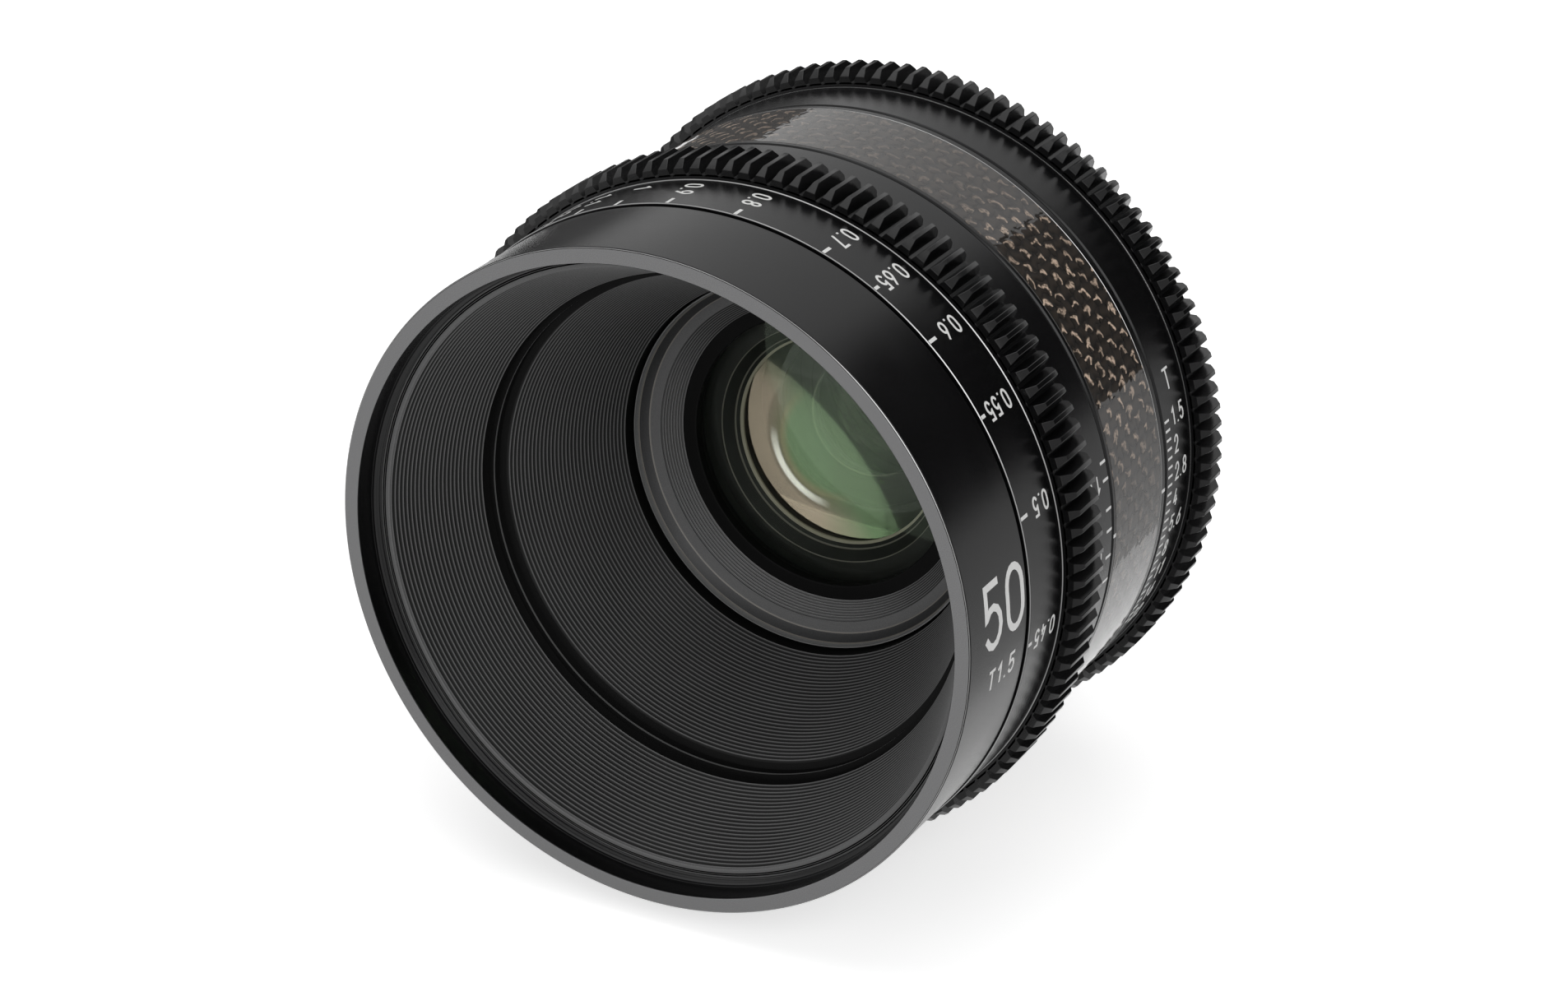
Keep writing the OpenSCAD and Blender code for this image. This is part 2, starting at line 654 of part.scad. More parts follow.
module main_barrel() color(black) place() difference() {
    revolve([
        [mouth_r, barrel_z], [barrel_r, barrel_z], [barrel_r, rear_z + rear_len / 2],
        [barrel_bore, rear_z + rear_len / 2], [barrel_bore, mouth_end], [mouth_r, mouth_end]]);
    around(follower_count) radial_slot(
        follower_slot, barrel_bore - overcut, barrel_r + overcut,
        follower_z - near_travel - slide_gap, follower_z - near_travel + focus_travel + slide_gap);
    link_window(barrel_bore - overcut, barrel_r + overcut);
    rotate([0, 0, stop_angle]) radial_pin(
        stop_r + seat_gap, barrel_bore - overcut, barrel_r + overcut, stop_z);
    around(screw_count) sleeve_screw_place() screw_hole(sleeve_screw_len);
}

// Window that lets the iris link pin turn, and slide with the optics
module link_window(r0, r1) tube_arc(
    r0, r1, link_z - near_travel - link_slot - free_gap,
    link_z - near_travel + focus_travel + link_slot + free_gap,
    link_angle - close_turn - window_margin, link_angle + open_turn + window_margin);

module focus_stop_pin() color(steel) place() rotate([0, 0, stop_angle]) radial_pin(
    stop_r, barrel_bore + free_gap, barrel_r + stop_r, stop_z);

module fixed_sleeve() color(black) place() difference() {
    revolve([
        [barrel_seat, sleeve_z], [carbon_bore, sleeve_z], [carbon_bore, sleeve_end - rear_rim],
        [band_r, sleeve_end - rear_rim], [band_r, sleeve_end - edge], [band_r - edge, sleeve_end],
        [barrel_seat, sleeve_end]]);
    around(screw_count) sleeve_screw_place() screw_hole(sleeve_screw_len);
}

module sleeve_screw_place() translate([barrel_bore + seat_gap, 0, sleeve_screw_z])
    rotate([0, 90, 0]) children();

module sleeve_screws() color(steel) place() around(screw_count) sleeve_screw_place()
    screw(sleeve_screw_len);

module carbon_sleeve() color([0.2, 0.17, 0.15]) place() tube(
    carbon_bore + seat_gap, band_r, sleeve_z + index_len + seat_gap, sleeve_end - rear_rim - seat_gap);

module index_ring() color(black) place() revolve([
    [carbon_bore + seat_gap, sleeve_z], [band_r - edge, sleeve_z], [band_r, sleeve_z + edge],
    [band_r, sleeve_z + index_len], [carbon_bore + seat_gap, sleeve_z + index_len]]);

module rear_barrel() color(black) place() difference() {
    revolve([
        [barrel_seat, rear_z], [rear_r, rear_z], [rear_r, rear_end - edge], [rear_r - edge, rear_end],
        [throat_r, rear_end], [throat_r, rear_z + rear_len / 2], [barrel_seat, rear_z + rear_len / 2]]);
    mount_screw_places() screw_hole(mount_screw_len);
}

module mount_shim() color(brass) place() difference() {
    tube(throat_r, base_r, rear_end, base_z);
    mount_screw_places() screw_hole(mount_screw_len);
}

module mount_screw_places() rotate([0, 0, 180 / lug_count]) around(lug_count)
    translate([mount_screw_r, 0, neck_z]) rotate([180, 0, 0]) children();

module mount_screws() color(steel) place() mount_screw_places() screw(mount_screw_len);

module camera_mount() color(steel) place() difference() {
    union() {
        mount_body();
        around(lug_count) tube_arc(
            spigot_r, lug_r, lug_z, flange_z, lug_gap / 2 - 180 / lug_count, 180 / lug_count - lug_gap / 2);
    }
    translate([-notch_w / 2, lug_r - notch_depth, lug_z - overcut])
        cube([notch_w, notch_depth + overcut, lug_t + 2 * overcut]);
    mount_screw_places() screw_hole(mount_screw_len);
}

module mount_body() revolve([
    [spigot_r - spigot_wall, base_z], [base_r, base_z], [base_r, neck_z], [neck_r, neck_z],
    [neck_r, flange_z], [spigot_r, flange_z],
    [spigot_r, spigot_end - edge], [spigot_r - edge, spigot_end], [spigot_r - spigot_wall, spigot_end]]);

module focus_ring() color(black) place() difference() {
    union() {
        band(focus_z, focus_end);
        gear(focus_gear_z, focus_gear_z + focus_gear_len);
    }
    tube(ring_bore - overcut, cam_r + seat_gap, cam_z, focus_end + overcut);
    tube_arc(ring_bore - overcut, barrel_r + stop_r + free_gap,
        stop_z - stop_r - free_gap, stop_z + stop_r + free_gap,
        stop_angle - far_turn - stop_margin, stop_angle + near_turn + stop_margin);
}

// Tube with a helical slot for each follower
module focus_cam() color(brass) place() difference() {
    tube(ring_bore, cam_r, cam_z + seat_gap, focus_end);
    around(follower_count) helix_slot();
}

// Solid of a slot that winds around the axis: a box section carried along the helix
module helix_slot() {
    margin = asin((follower_slot + free_gap) / ring_bore);
    span = focus_turn + 2 * margin;
    steps = ceil(span / slot_step);
    first = far_turn + margin;
    points = [for (i = [0 : steps], k = [0 : 3]) let (
        turn = first - span * i / steps,
        r = k == 0 || k == 3 ? ring_bore - overcut : cam_r + overcut,
        z = follower_z + focus_lead * turn / 360 + (k < 2 ? -1 : 1) * follower_slot)
        [r * cos(-turn), r * sin(-turn), z]];
    sides = [for (i = [0 : steps - 1], k = [0 : 3], half = [0, 1]) let (
        a = 4 * i + k,
        b = 4 * i + (k + 1) % 4)
        half == 0 ? [a, b, b + 4] : [a, b + 4, a + 4]];
    last = 4 * steps;
    caps = [[2, 1, 0], [3, 2, 0], [last, last + 1, last + 2], [last, last + 2, last + 3]];
    polyhedron(points, concat(sides, caps));
}

module iris_ring() color(black) place() difference() {
    union() {
        band(iris_z, iris_end);
        gear(iris_gear_z, iris_end);
    }
    rotate([0, 0, link_angle]) translate([ring_bore - overcut, -link_slot, link_z - near_travel - link_slot])
        cube([link_tip + free_gap - ring_bore + overcut, 2 * link_slot, focus_travel + 2 * link_slot]);
}

module optics_carrier() color(black) place() difference() {
    revolve([
        [carrier_bore, carrier_z], [carrier_r, carrier_z], [carrier_r, web_end],
        [front_cell_r + seat_gap, web_end], [front_cell_r + seat_gap, web_z], [carrier_bore, web_z]]);
    around(follower_count)
        radial_pin(follower_r + seat_gap, carrier_bore - overcut, carrier_r + overcut, follower_z);
    housing_screw_places() screw_hole(inner_screw_len);
}

module cam_followers() color(steel) place() around(follower_count)
    radial_pin(follower_r, carrier_bore, follower_tip, follower_z);

module nose_ring() color(matte) place() revolve([
    [nose_r - edge, nose_z], [nose_r, nose_z + edge], [nose_r, front_cell_z], [dish_r, front_cell_z],
    [dish_r, dish_end], [nose_r - lip_w - land_w, lip_end + land_drop], [nose_r - lip_w, lip_end]]);

module front_cell() color(matte) place() revolve([
    [dish_r, front_cell_z], [nose_r, front_cell_z], [nose_r, web_z], [front_cell_r, web_z],
    [front_cell_r, front_cell_end], [glass2_r + seat_gap, front_cell_end],
    [glass2_r + seat_gap, glass2_rim - seat_gap],
    [glass2_seat, front_at(glass2_z, curve2_front, glass2_seat)],
    [glass1_r - seat_w, glass1_end], [glass1_r + seat_gap, glass1_end],
    [glass1_r + seat_gap, glass1_rim], [dish_r, glass1_rim]]);

module front_retaining_ring() color(matte) place() revolve([
    [clear_r, dish_end], [dish_r - seat_gap, dish_end], [dish_r - seat_gap, glass1_rim - seat_gap],
    [glass1_r, glass1_rim - seat_gap], [clear_r, front_at(glass1_z, curve1_front, clear_r)]]);

module glass_1() color(glass_tint) place() glass(
    glass1_z, curve1_front, glass1_back, curve1_rear, glass1_r, glass1_z, glass1_end);

module glass_2() color(glass_tint) place() glass(
    glass2_z, curve2_front, glass2_back, curve2_rear, glass2_r, glass2_z, glass2_end);

module glass_3() color(glass_tint) place() glass(
    glass3_z, curve2_rear, glass3_back, curve3_rear, glass2_r, glass3_z, glass3_end);

module iris_housing() color(matte) place() difference() {
    revolve([
        [cover_r + seat_gap, web_end], [housing_flange_r, web_end],
        [housing_flange_r, web_end + housing_flange_t], [housing_r, web_end + housing_flange_t],
        [housing_r, plate_end], [plate_bore, plate_end],
        [plate_bore, plate_z], [housing_bore, plate_z], [housing_bore, cover_z + cover_t],
        [cover_r + seat_gap, cover_z + cover_t]]);
    around(blade_count) translate([pivot_r, 0, plate_z - overcut])
        cylinder(r = pivot_pin_r + run_gap, h = plate_t + 2 * overcut, $fn = small_fn);
    tube_arc(housing_bore - overcut, housing_r + overcut, link_z - link_slot, link_z + link_slot,
        link_angle - close_turn - link_margin, link_angle + open_turn + link_margin);
    housing_screw_places() screw_hole(inner_screw_len);
    cell_screw_places() screw_hole(inner_screw_len);
}

module housing_screw_places() around(screw_count)
    translate([housing_screw_r, 0, web_end + housing_flange_t]) rotate([180, 0, 0]) children();

module housing_screws() color(steel) place() housing_screw_places() screw(inner_screw_len);

module iris_cover() color(matte) place() tube(plate_bore, cover_r, cover_z, cover_z + cover_t);

module rear_cell() color(matte) place() difference() {
    revolve([
        [glass4_r + seat_gap, plate_end], [cell_flange_r, plate_end], [cell_flange_r, cell_flange_end],
        [rear_cell_r, cell_flange_end], [rear_cell_r, rear_cell_end], [glass6_r + seat_gap, rear_cell_end],
        [glass6_r + seat_gap, glass6_rim - seat_gap],
        [glass6_seat, front_at(glass6_z, curve6_front, glass6_seat)],
        [glass4_seat, back_at(glass5_back, curve5_rear, glass4_seat)],
        [glass4_r + seat_gap, glass5_end + seat_gap]]);
    cell_screw_places() screw_hole(inner_screw_len);
}

module cell_screw_places() rotate([0, 0, 180 / blade_count]) around(screw_count)
    translate([cell_screw_r, 0, cell_flange_end]) rotate([180, 0, 0]) children();

module rear_cell_screws() color(steel) place() cell_screw_places() screw(inner_screw_len);

module glass_4() color(glass_tint) place() glass(
    glass4_z, -curve4_front, glass4_back, curve4_rear, glass4_r, glass4_rim, glass4_end);

module glass_5() color(glass_tint) place() glass(
    glass5_z, curve4_rear, glass5_back, -curve5_rear, glass4_r, glass5_z, glass5_back);

module glass_6() color(glass_tint) place() glass(
    glass6_z, curve6_front, glass6_back, -curve6_rear, glass6_r, glass6_z, glass6_back);

module glass_spacer() color(matte) place() revolve([
    [glass6_seat, back_at(glass6_back, curve6_rear, glass6_seat)], [glass6_r, glass6_end + seat_gap],
    [glass6_r, glass7_rim - seat_gap], [glass6_seat, front_at(glass7_z, curve7_front, glass6_seat)]]);

module glass_7() color(glass_tint) place() glass(
    glass7_z, curve7_front, glass7_back, -curve7_rear, glass6_r, glass7_z, glass7_back);

module rear_retaining_ring() color(matte) place() revolve([
    [glass6_seat, back_at(glass7_back, curve7_rear, glass6_seat)], [glass6_r, glass7_end + seat_gap],
    [glass6_r, glass7_end + rear_retainer_len], [glass6_seat, glass7_end + rear_retainer_len]]);

module iris_cam_ring() color(brass) place() difference() {
    tube(cam_ring_bore, cam_ring_r, cam_ring_z, cam_ring_end);
    around(blade_count) blade_slot();
    rotate([0, 0, link_angle]) radial_pin(link_r + seat_gap, link_root, cam_ring_r + overcut, link_z);
}

// Slot of the cam ring: the arc that a blade's drive pin follows from open to closed
module blade_slot() {
    start = slot_point(0);
    end = slot_point(1);
    middle = circle_middle(start, slot_point(0.5), end);
    r = norm(start - middle);
    half = drive_pin_r + run_gap;
    from = atan2(start.y - middle.y, start.x - middle.x);
    to = atan2(end.y - middle.y, end.x - middle.x);
    translate([middle.x, middle.y, 0])
        tube_arc(r - half, r + half, cam_ring_z - overcut, cam_ring_end + overcut, from, to);
    for (p = [start, end]) translate([p.x, p.y, cam_ring_z - overcut])
        cylinder(r = half, h = cam_ring_t + 2 * overcut, $fn = small_fn);
}

module iris_link_pin() color(steel) place() rotate([0, 0, link_angle])
    radial_pin(link_r, link_root + seat_gap, link_tip, link_z);

// Blade with its own level in the stack, a pivot towards the plate and a drive pin towards the cam ring
module iris_blade(i) color([0.12, 0.12, 0.13]) place() rotate([0, 0, 360 * i / blade_count])
    translate([pivot_r, 0, 0]) rotate([0, 0, -blade_turn * open_turn / iris_turn]) {
        level = blade_z + i * blade_pitch;
        outer_r = open_r + blade_w;
        translate([-pivot_r, 0, 0]) tube_arc(
            open_r, outer_r, level, level + blade_t, -blade_span, asin(2 * ear_w / outer_r));
        translate([0, 0, level]) linear_extrude(height = blade_t) polygon([
            [outer_r - pivot_r - ear_w, -2 * ear_w], [ear_w, -ear_w], [ear_w, arm + ear_w],
            [-ear_w, arm + ear_w], [outer_r - pivot_r - ear_w, ear_w]]);
        translate([0, 0, level]) cylinder(r = pivot_pin_r, h = plate_z + pin_reach - level, $fn = small_fn);
        translate([0, arm, cam_ring_end - pin_reach])
            cylinder(r = drive_pin_r, h = level + blade_t - cam_ring_end + pin_reach, $fn = small_fn);
    }

front_ring();
front_baffle();
rear_baffle();
main_barrel();
focus_stop_pin();
fixed_sleeve();
sleeve_screws();
carbon_sleeve();
index_ring();
rear_barrel();
mount_shim();
camera_mount();
mount_screws();
focus_ring();
focus_cam();
iris_ring();
optics_carrier();
cam_followers();
nose_ring();
front_cell();
front_retaining_ring();
glass_1();
glass_2();
glass_3();
iris_housing();
housing_screws();
iris_cover();
rear_cell();
rear_cell_screws();
glass_4();
glass_5();
glass_6();
glass_spacer();
glass_7();
rear_retaining_ring();
iris_cam_ring();
iris_link_pin();
for (i = [0 : blade_count - 1])
    iris_blade(i);
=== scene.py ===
"""Looks of a cinema prime lens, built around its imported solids. Front towards -Y, mount behind, +Z up."""
import math

import bmesh
import bpy
import numpy as np
from mathutils import Matrix, Vector


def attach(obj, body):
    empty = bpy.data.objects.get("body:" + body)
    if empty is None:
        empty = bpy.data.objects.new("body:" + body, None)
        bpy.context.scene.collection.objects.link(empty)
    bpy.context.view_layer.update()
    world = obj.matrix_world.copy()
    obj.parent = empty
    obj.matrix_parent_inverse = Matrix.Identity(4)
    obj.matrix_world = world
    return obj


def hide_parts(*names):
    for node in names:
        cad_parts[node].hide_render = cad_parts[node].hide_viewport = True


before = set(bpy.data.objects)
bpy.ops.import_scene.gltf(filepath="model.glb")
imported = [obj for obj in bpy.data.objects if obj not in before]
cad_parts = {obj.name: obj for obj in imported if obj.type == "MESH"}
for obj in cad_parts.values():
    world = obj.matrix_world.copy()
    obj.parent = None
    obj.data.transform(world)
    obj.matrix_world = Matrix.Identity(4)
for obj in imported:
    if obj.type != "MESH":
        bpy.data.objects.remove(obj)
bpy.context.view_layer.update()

# Sizes in millimetres. A depth is counted back from the front face, a turn in degrees up from +X.
MM = 0.001
LENGTH = 90.0
AROUND = 240
FRONT_R = 47.5
BAND_R = 47.8
RING_BORE = 43.46
SEAT_R = 43.42
ROOT_R = 48.6
TIP_R = 50.4
TEETH = 124
TOOTH_PITCH_R = 49.6
TOOTH_HALF = 0.6283
TOOTH_SLOPE = math.tan(math.radians(20))
FOCUS_GEAR = (27.5, 36.0)
IRIS_GEAR = (70.9, 77.3)
JOINT = 21.5
CREST = 0.18
TRAP = 1.95
TRAP_FLOOR = 1.7
TRAP_DEPTH = 0.8
WALL = 1.2
CONE_R = 43.2
CONE_START = 4.7
CONE_SLOPE = 0.385013
CONE_END = 43.4
RIDGE_DEPTH = 0.34
FRONT_FACE = (48.037, 58)
SECOND_FACE = (53.087, 32)
MOUNT_FACE = 84.5
NECK_R = 31.5
SPIGOT_R = 26.985
SPIGOT_BORE = 24.0
SPIGOT_END = 100.0
LUG_R = 34.75
LUG_START = 87.0
SCREW_CIRCLE = 36.6
FLOOR_Z = -50.45
FOOT = 0.3048


# Shapes

def placed(name, data):
    """Object in the scene."""
    obj = bpy.data.objects.new(name, data)
    bpy.context.scene.collection.objects.link(obj)
    return obj


def poured(shape, name):
    """Mesh of a shape that was being built."""
    mesh = bpy.data.meshes.new(name)
    shape.to_mesh(mesh)
    shape.free()
    return mesh


def place_of(face):
    """Radius and depth of a face's middle."""
    middle = face.center
    return math.hypot(middle.x, middle.z) / MM, middle.y / MM + LENGTH


def spot(radius, turn, depth):
    """Point at a radius, a turn in radians and a depth, in metres."""
    return (radius * math.cos(turn) * MM, (depth - LENGTH) * MM, radius * math.sin(turn) * MM)


def eased(corners, ease=0.12, steps=3, hold=0.1):
    """Outline with its corners rounded, and held flat beside them. A third value is a corner's own ease."""
    count = len(corners)
    places = [np.array(c[:2], float) for c in corners]
    points = []
    for i, corner in enumerate(places):
        before = places[i - 1] - corner
        after = places[(i + 1) % count] - corner
        size = corners[i][2] if len(corners[i]) > 2 else ease
        size_before = np.linalg.norm(before)
        size_after = np.linalg.norm(after)
        reach = min(size, 0.4 * size_before, 0.4 * size_after)
        if reach < 0.004:
            points.append(corner)
            continue
        before = before / size_before
        after = after / size_after
        if size_before > 2 * (reach + hold):
            points.append(corner + before * (reach + hold))
        for k in range(steps + 1):
            u = k / steps
            points.append(corner + before * reach * (1 - u) ** 2 + after * reach * u ** 2)
        if size_after > 2 * (reach + hold):
            points.append(corner + after * (reach + hold))
    return points


def lathe(outline, around=AROUND, closed=True):
    """Points and faces of an outline of radius and depth turned about the axis, with its faces outwards."""
    ring = np.array([p[:2] for p in outline], float)
    if closed:
        r, s = ring[:, 0], ring[:, 1]
        if np.sum(r * np.roll(s, -1) - np.roll(r, -1) * s) < 0:
            ring = ring[::-1]
    turns = np.arange(around) * 2 * math.pi / around
    radius = ring[:, :1]
    x = radius * np.cos(turns)
    z = radius * np.sin(turns)
    y = np.repeat(ring[:, 1:] - LENGTH, around, axis=1)
    points = np.stack([x, y, z], -1).reshape(-1, 3) * MM
    here = np.arange(around)
    there = (here + 1) % around
    faces = []
    for i in range(len(ring) if closed else len(ring) - 1):
        a = i * around
        b = (i + 1) % len(ring) * around
        faces.append(np.stack([a + here, b + here, b + there, a + there], 1))
    return points, np.concatenate(faces)


def mesh_of(name, points, faces, sharp=40.0):
    """Smooth mesh whose edges stay crisp past the sharp angle."""
    mesh = bpy.data.meshes.new(name)
    mesh.from_pydata([tuple(p) for p in points], [], [tuple(int(i) for i in f) for f in faces])
    smoothed(mesh, sharp)
    return mesh


def smoothed(mesh, sharp):
    """Smooth shading with crisp edges past an angle in degrees."""
    mesh.polygons.foreach_set("use_smooth", [True] * len(mesh.polygons))
    mesh.set_sharp_from_angle(angle=math.radians(sharp))
    mesh.update()


def turned(name, corners, ease=0.12):
    """Mesh of a piece from the lathe, with eased edges."""
    return mesh_of(name, *lathe(eased(corners, ease)))


def joined(name, meshes, weld=None, sharp=40.0):
    """One mesh from several. Each keeps its place, and its order gives its material number."""
    shape = bmesh.new()
    for number, mesh in enumerate(meshes):
        first = len(shape.faces)
        shape.from_mesh(mesh)
        shape.faces.ensure_lookup_table()
        for face in shape.faces[first:]:
            face.material_index = number
    if weld:
        bmesh.ops.remove_doubles(shape, verts=shape.verts, dist=weld)
        bmesh.ops.recalc_face_normals(shape, faces=shape.faces)
    whole = poured(shape, name)
    smoothed(whole, sharp)
    return whole


def block(sections):
    """Points and faces of a closed bar that runs through four-cornered sections."""
    points = [p for section in sections for p in section]
    faces = [(3, 2, 1, 0)]
    for i in range(len(sections) - 1):
        for k in range(4):
            n = (k + 1) % 4
            faces.append((4 * i + k, 4 * i + n, 4 * i + 4 + n, 4 * i + 4 + k))
    last = 4 * len(sections) - 4
    faces.append((last, last + 1, last + 2, last + 3))
    return points, faces


def arc_block(inner, outer, start, end, first, last, steps=12):
    """Mesh of a closed block between two radii, two depths and two turns in degrees."""
    sections = []
    for k in range(steps + 1):
        turn = math.radians(first + (last - first) * k / steps)
        sections.append([spot(inner, turn, start), spot(outer, turn, start),
                         spot(outer, turn, end), spot(inner, turn, end)])
    return mesh_of("block", *block(sections), 30.0)


# Node trees

def add(tree, kind, values=None, **settings):
    """Node of a tree. Each value is a number to set or a socket to link."""
    item = tree.nodes.new(kind)
    for key, value in settings.items():
        setattr(item, key, value)
    for key, value in (values or {}).items():
        if isinstance(value, bpy.types.NodeSocket):
            tree.links.new(value, item.inputs[key])
        else:
            item.inputs[key].default_value = value
    return item


def sums(tree):
    """Function that adds a maths node to a tree and gives its result."""
    def maths(operation, *values, **settings):
        node = add(tree, "ShaderNodeMath", dict(enumerate(values)), operation=operation, **settings)
        return node.outputs[0]
    return maths


def vectors(tree, operation, *values):
    """Vector node of a tree. Returns its outputs."""
    return add(tree, "ShaderNodeVectorMath", dict(enumerate(values)), operation=operation).outputs


def new_tree(name, inputs):
    """Geometry tree with named inputs. Returns the tree, its input node and its output node."""
    tree = bpy.data.node_groups.new(name, "GeometryNodeTree")
    tree.interface.new_socket(name="Geometry", in_out="OUTPUT", socket_type="NodeSocketGeometry")
    for label, kind in inputs:
        tree.interface.new_socket(name=label, in_out="INPUT", socket_type="NodeSocket" + kind)
    return tree, tree.nodes.new("NodeGroupInput"), tree.nodes.new("NodeGroupOutput")


def copies_tree():
    """Copies of a shape, turned about the lens axis by equal steps."""
    tree, given, result = new_tree("ring of copies", [
        ("Shape", "Object"), ("Count", "Int"), ("First Turn", "Float"), ("Step", "Float"),
        ("Finish", "Material")])
    places = add(tree, "GeometryNodeMeshLine", {"Count": given.outputs["Count"], "Offset": (0, 0, 0)})
    shape = add(tree, "GeometryNodeObjectInfo", {"Object": given.outputs["Shape"]})
    number = add(tree, "GeometryNodeInputIndex").outputs[0]
    turn = sums(tree)("MULTIPLY_ADD", number, given.outputs["Step"], given.outputs["First Turn"])
    about = add(tree, "ShaderNodeCombineXYZ", {"Y": turn})
    copies = add(tree, "GeometryNodeInstanceOnPoints", {
        "Points": places.outputs[0], "Instance": shape.outputs["Geometry"], "Rotation": about.outputs[0]})
    real = add(tree, "GeometryNodeRealizeInstances", {"Geometry": copies.outputs[0]})
    coloured = add(tree, "GeometryNodeSetMaterial", {
        "Geometry": real.outputs[0], "Material": given.outputs["Finish"]})
    tree.links.new(coloured.outputs[0], result.inputs[0])
    return tree


def ridges_tree():
    """Cone wall with ridges that run around it, seen from inside."""
    tree, given, result = new_tree("ridged cone", [
        ("Front Radius", "Float"), ("Rear Radius", "Float"), ("Front Place", "Float"),
        ("Rear Place", "Float"), ("Ridges", "Int"), ("Ridge Depth", "Float"), ("Steps", "Int"),
        ("Around", "Int"), ("Finish", "Material")])
    take = given.outputs
    maths = sums(tree)
    rows = maths("ADD", maths("MULTIPLY", take["Ridges"], take["Steps"]), 1.0)
    sides = maths("ADD", take["Around"], 1.0)
    sheet = add(tree, "GeometryNodeMeshGrid", {
        "Size X": 1.0, "Size Y": 1.0, "Vertices X": sides, "Vertices Y": rows})
    place = add(tree, "ShaderNodeSeparateXYZ", {0: add(tree, "GeometryNodeInputPosition").outputs[0]})
    turn = maths("MULTIPLY", maths("ADD", place.outputs[0], 0.5), 2 * math.pi)
    along = maths("ADD", place.outputs[1], 0.5)
    wave = maths("PINGPONG", maths("MULTIPLY", along, take["Ridges"]), 0.5)
    straight = maths("MULTIPLY_ADD", maths("SUBTRACT", take["Rear Radius"], take["Front Radius"]),
                     along, take["Front Radius"])
    radius = maths("MULTIPLY_ADD", maths("MULTIPLY", wave, 2.0), take["Ridge Depth"], straight)
    depth = maths("MULTIPLY_ADD", maths("SUBTRACT", take["Rear Place"], take["Front Place"]),
                  along, take["Front Place"])
    where = add(tree, "ShaderNodeCombineXYZ", {
        0: maths("MULTIPLY", radius, maths("COSINE", turn)), 1: depth,
        2: maths("MULTIPLY", radius, maths("SINE", turn))})
    marked = add(tree, "GeometryNodeStoreNamedAttribute", {
        "Geometry": sheet.outputs[0], "Name": "groove", "Value": maths("MULTIPLY", wave, 2.0)})
    wall = add(tree, "GeometryNodeSetPosition", {"Geometry": marked.outputs[0], "Position": where.outputs[0]})
    real = add(tree, "GeometryNodeRealizeInstances", {"Geometry": wall.outputs[0]})
    coloured = add(tree, "GeometryNodeSetMaterial", {
        "Geometry": real.outputs[0], "Material": take["Finish"]})
    tree.links.new(coloured.outputs[0], result.inputs[0])
    return tree


def grown(name, tree, **values):
    """Plain mesh that a tree makes from the named values."""
    holder = placed(name, bpy.data.meshes.new(name))
    modifier = holder.modifiers.new(name, "NODES")
    modifier.node_group = tree
    for item in tree.interface.items_tree:
        if item.in_out == "INPUT":
            modifier[item.identifier] = values[item.name.lower().replace(" ", "_")]
    graph = bpy.context.evaluated_depsgraph_get()
    graph.update()
    mesh = bpy.data.meshes.new_from_object(holder.evaluated_get(graph))
    holder.modifiers.remove(modifier)
    bpy.data.objects.remove(holder)
    return mesh


COPIES = copies_tree()
RIDGES = ridges_tree()


def around_ring(name, mesh, count, first, step, finish):
    """Copies of a mesh around the axis, from a first turn by a step, both in degrees."""
    shape = placed(name + "_shape", mesh)
    result = grown(name, COPIES, shape=shape, count=count, first_turn=-math.radians(first),
                   step=-math.radians(step), finish=finish)
    bpy.data.objects.remove(shape)
    return result


def ridged(name, front, rear, ridges, depth, finish, steps=4, around=AROUND):
    """Ridged wall between two points of radius and depth."""
    return grown(name, RIDGES, front_radius=front[0] * MM, rear_radius=rear[0] * MM,
                 front_place=(front[1] - LENGTH) * MM, rear_place=(rear[1] - LENGTH) * MM,
                 ridges=ridges, ridge_depth=depth * MM, steps=steps, around=around, finish=finish)


# Finishes

SOCKETS = {"specular_ior_level": "Specular IOR Level"}


def finish_of(name, colour, roughness, metallic=0.0, **sockets):
    """Material with one Principled shader. Returns the material, its tree and the shader."""
    material = bpy.data.materials.new(name)
    material.use_nodes = True
    material.diffuse_color = (*colour, 1.0)
    tree = material.node_tree
    shader = tree.nodes["Principled BSDF"]
    shader.inputs["Base Color"].default_value = (*colour, 1.0)
    shader.inputs["Roughness"].default_value = roughness
    shader.inputs["Metallic"].default_value = metallic
    for key, value in sockets.items():
        shader.inputs[SOCKETS.get(key, key.replace("_", " ").title())].default_value = value
    return material, tree, shader


def spread(tree, value, first, last):
    """Value between two levels brought to 0 and 1."""
    return add(tree, "ShaderNodeMapRange", {"Value": value, "From Min": first, "From Max": last}).outputs[0]


def grain(tree, scale, detail=3.0):
    """Fine noise on the piece's own coordinates, with more contrast."""
    where = add(tree, "ShaderNodeTexCoord").outputs["Object"]
    noise = add(tree, "ShaderNodeTexNoise", {"Vector": where, "Scale": scale, "Detail": detail})
    return spread(tree, noise.outputs[0], 0.35, 0.65)


def ranged(tree, value, low, high):
    """Value from 0 to 1 brought between two levels."""
    return add(tree, "ShaderNodeMapRange", {"Value": value, "To Min": low, "To Max": high}).outputs[0]


def bumped(tree, shader, height, distance, normal="Normal"):
    """Relief on the shader from a height."""
    relief = add(tree, "ShaderNodeBump", {"Height": height, "Distance": distance})
    tree.links.new(relief.outputs[0], shader.inputs[normal])


def blended(tree, amount, dark, light):
    """Colour between two by an amount."""
    mix = add(tree, "ShaderNodeMix", {"Factor": amount}, data_type="RGBA")
    mix.inputs["A"].default_value = (*dark, 1.0)
    mix.inputs["B"].default_value = (*light, 1.0)
    return mix.outputs["Result"]


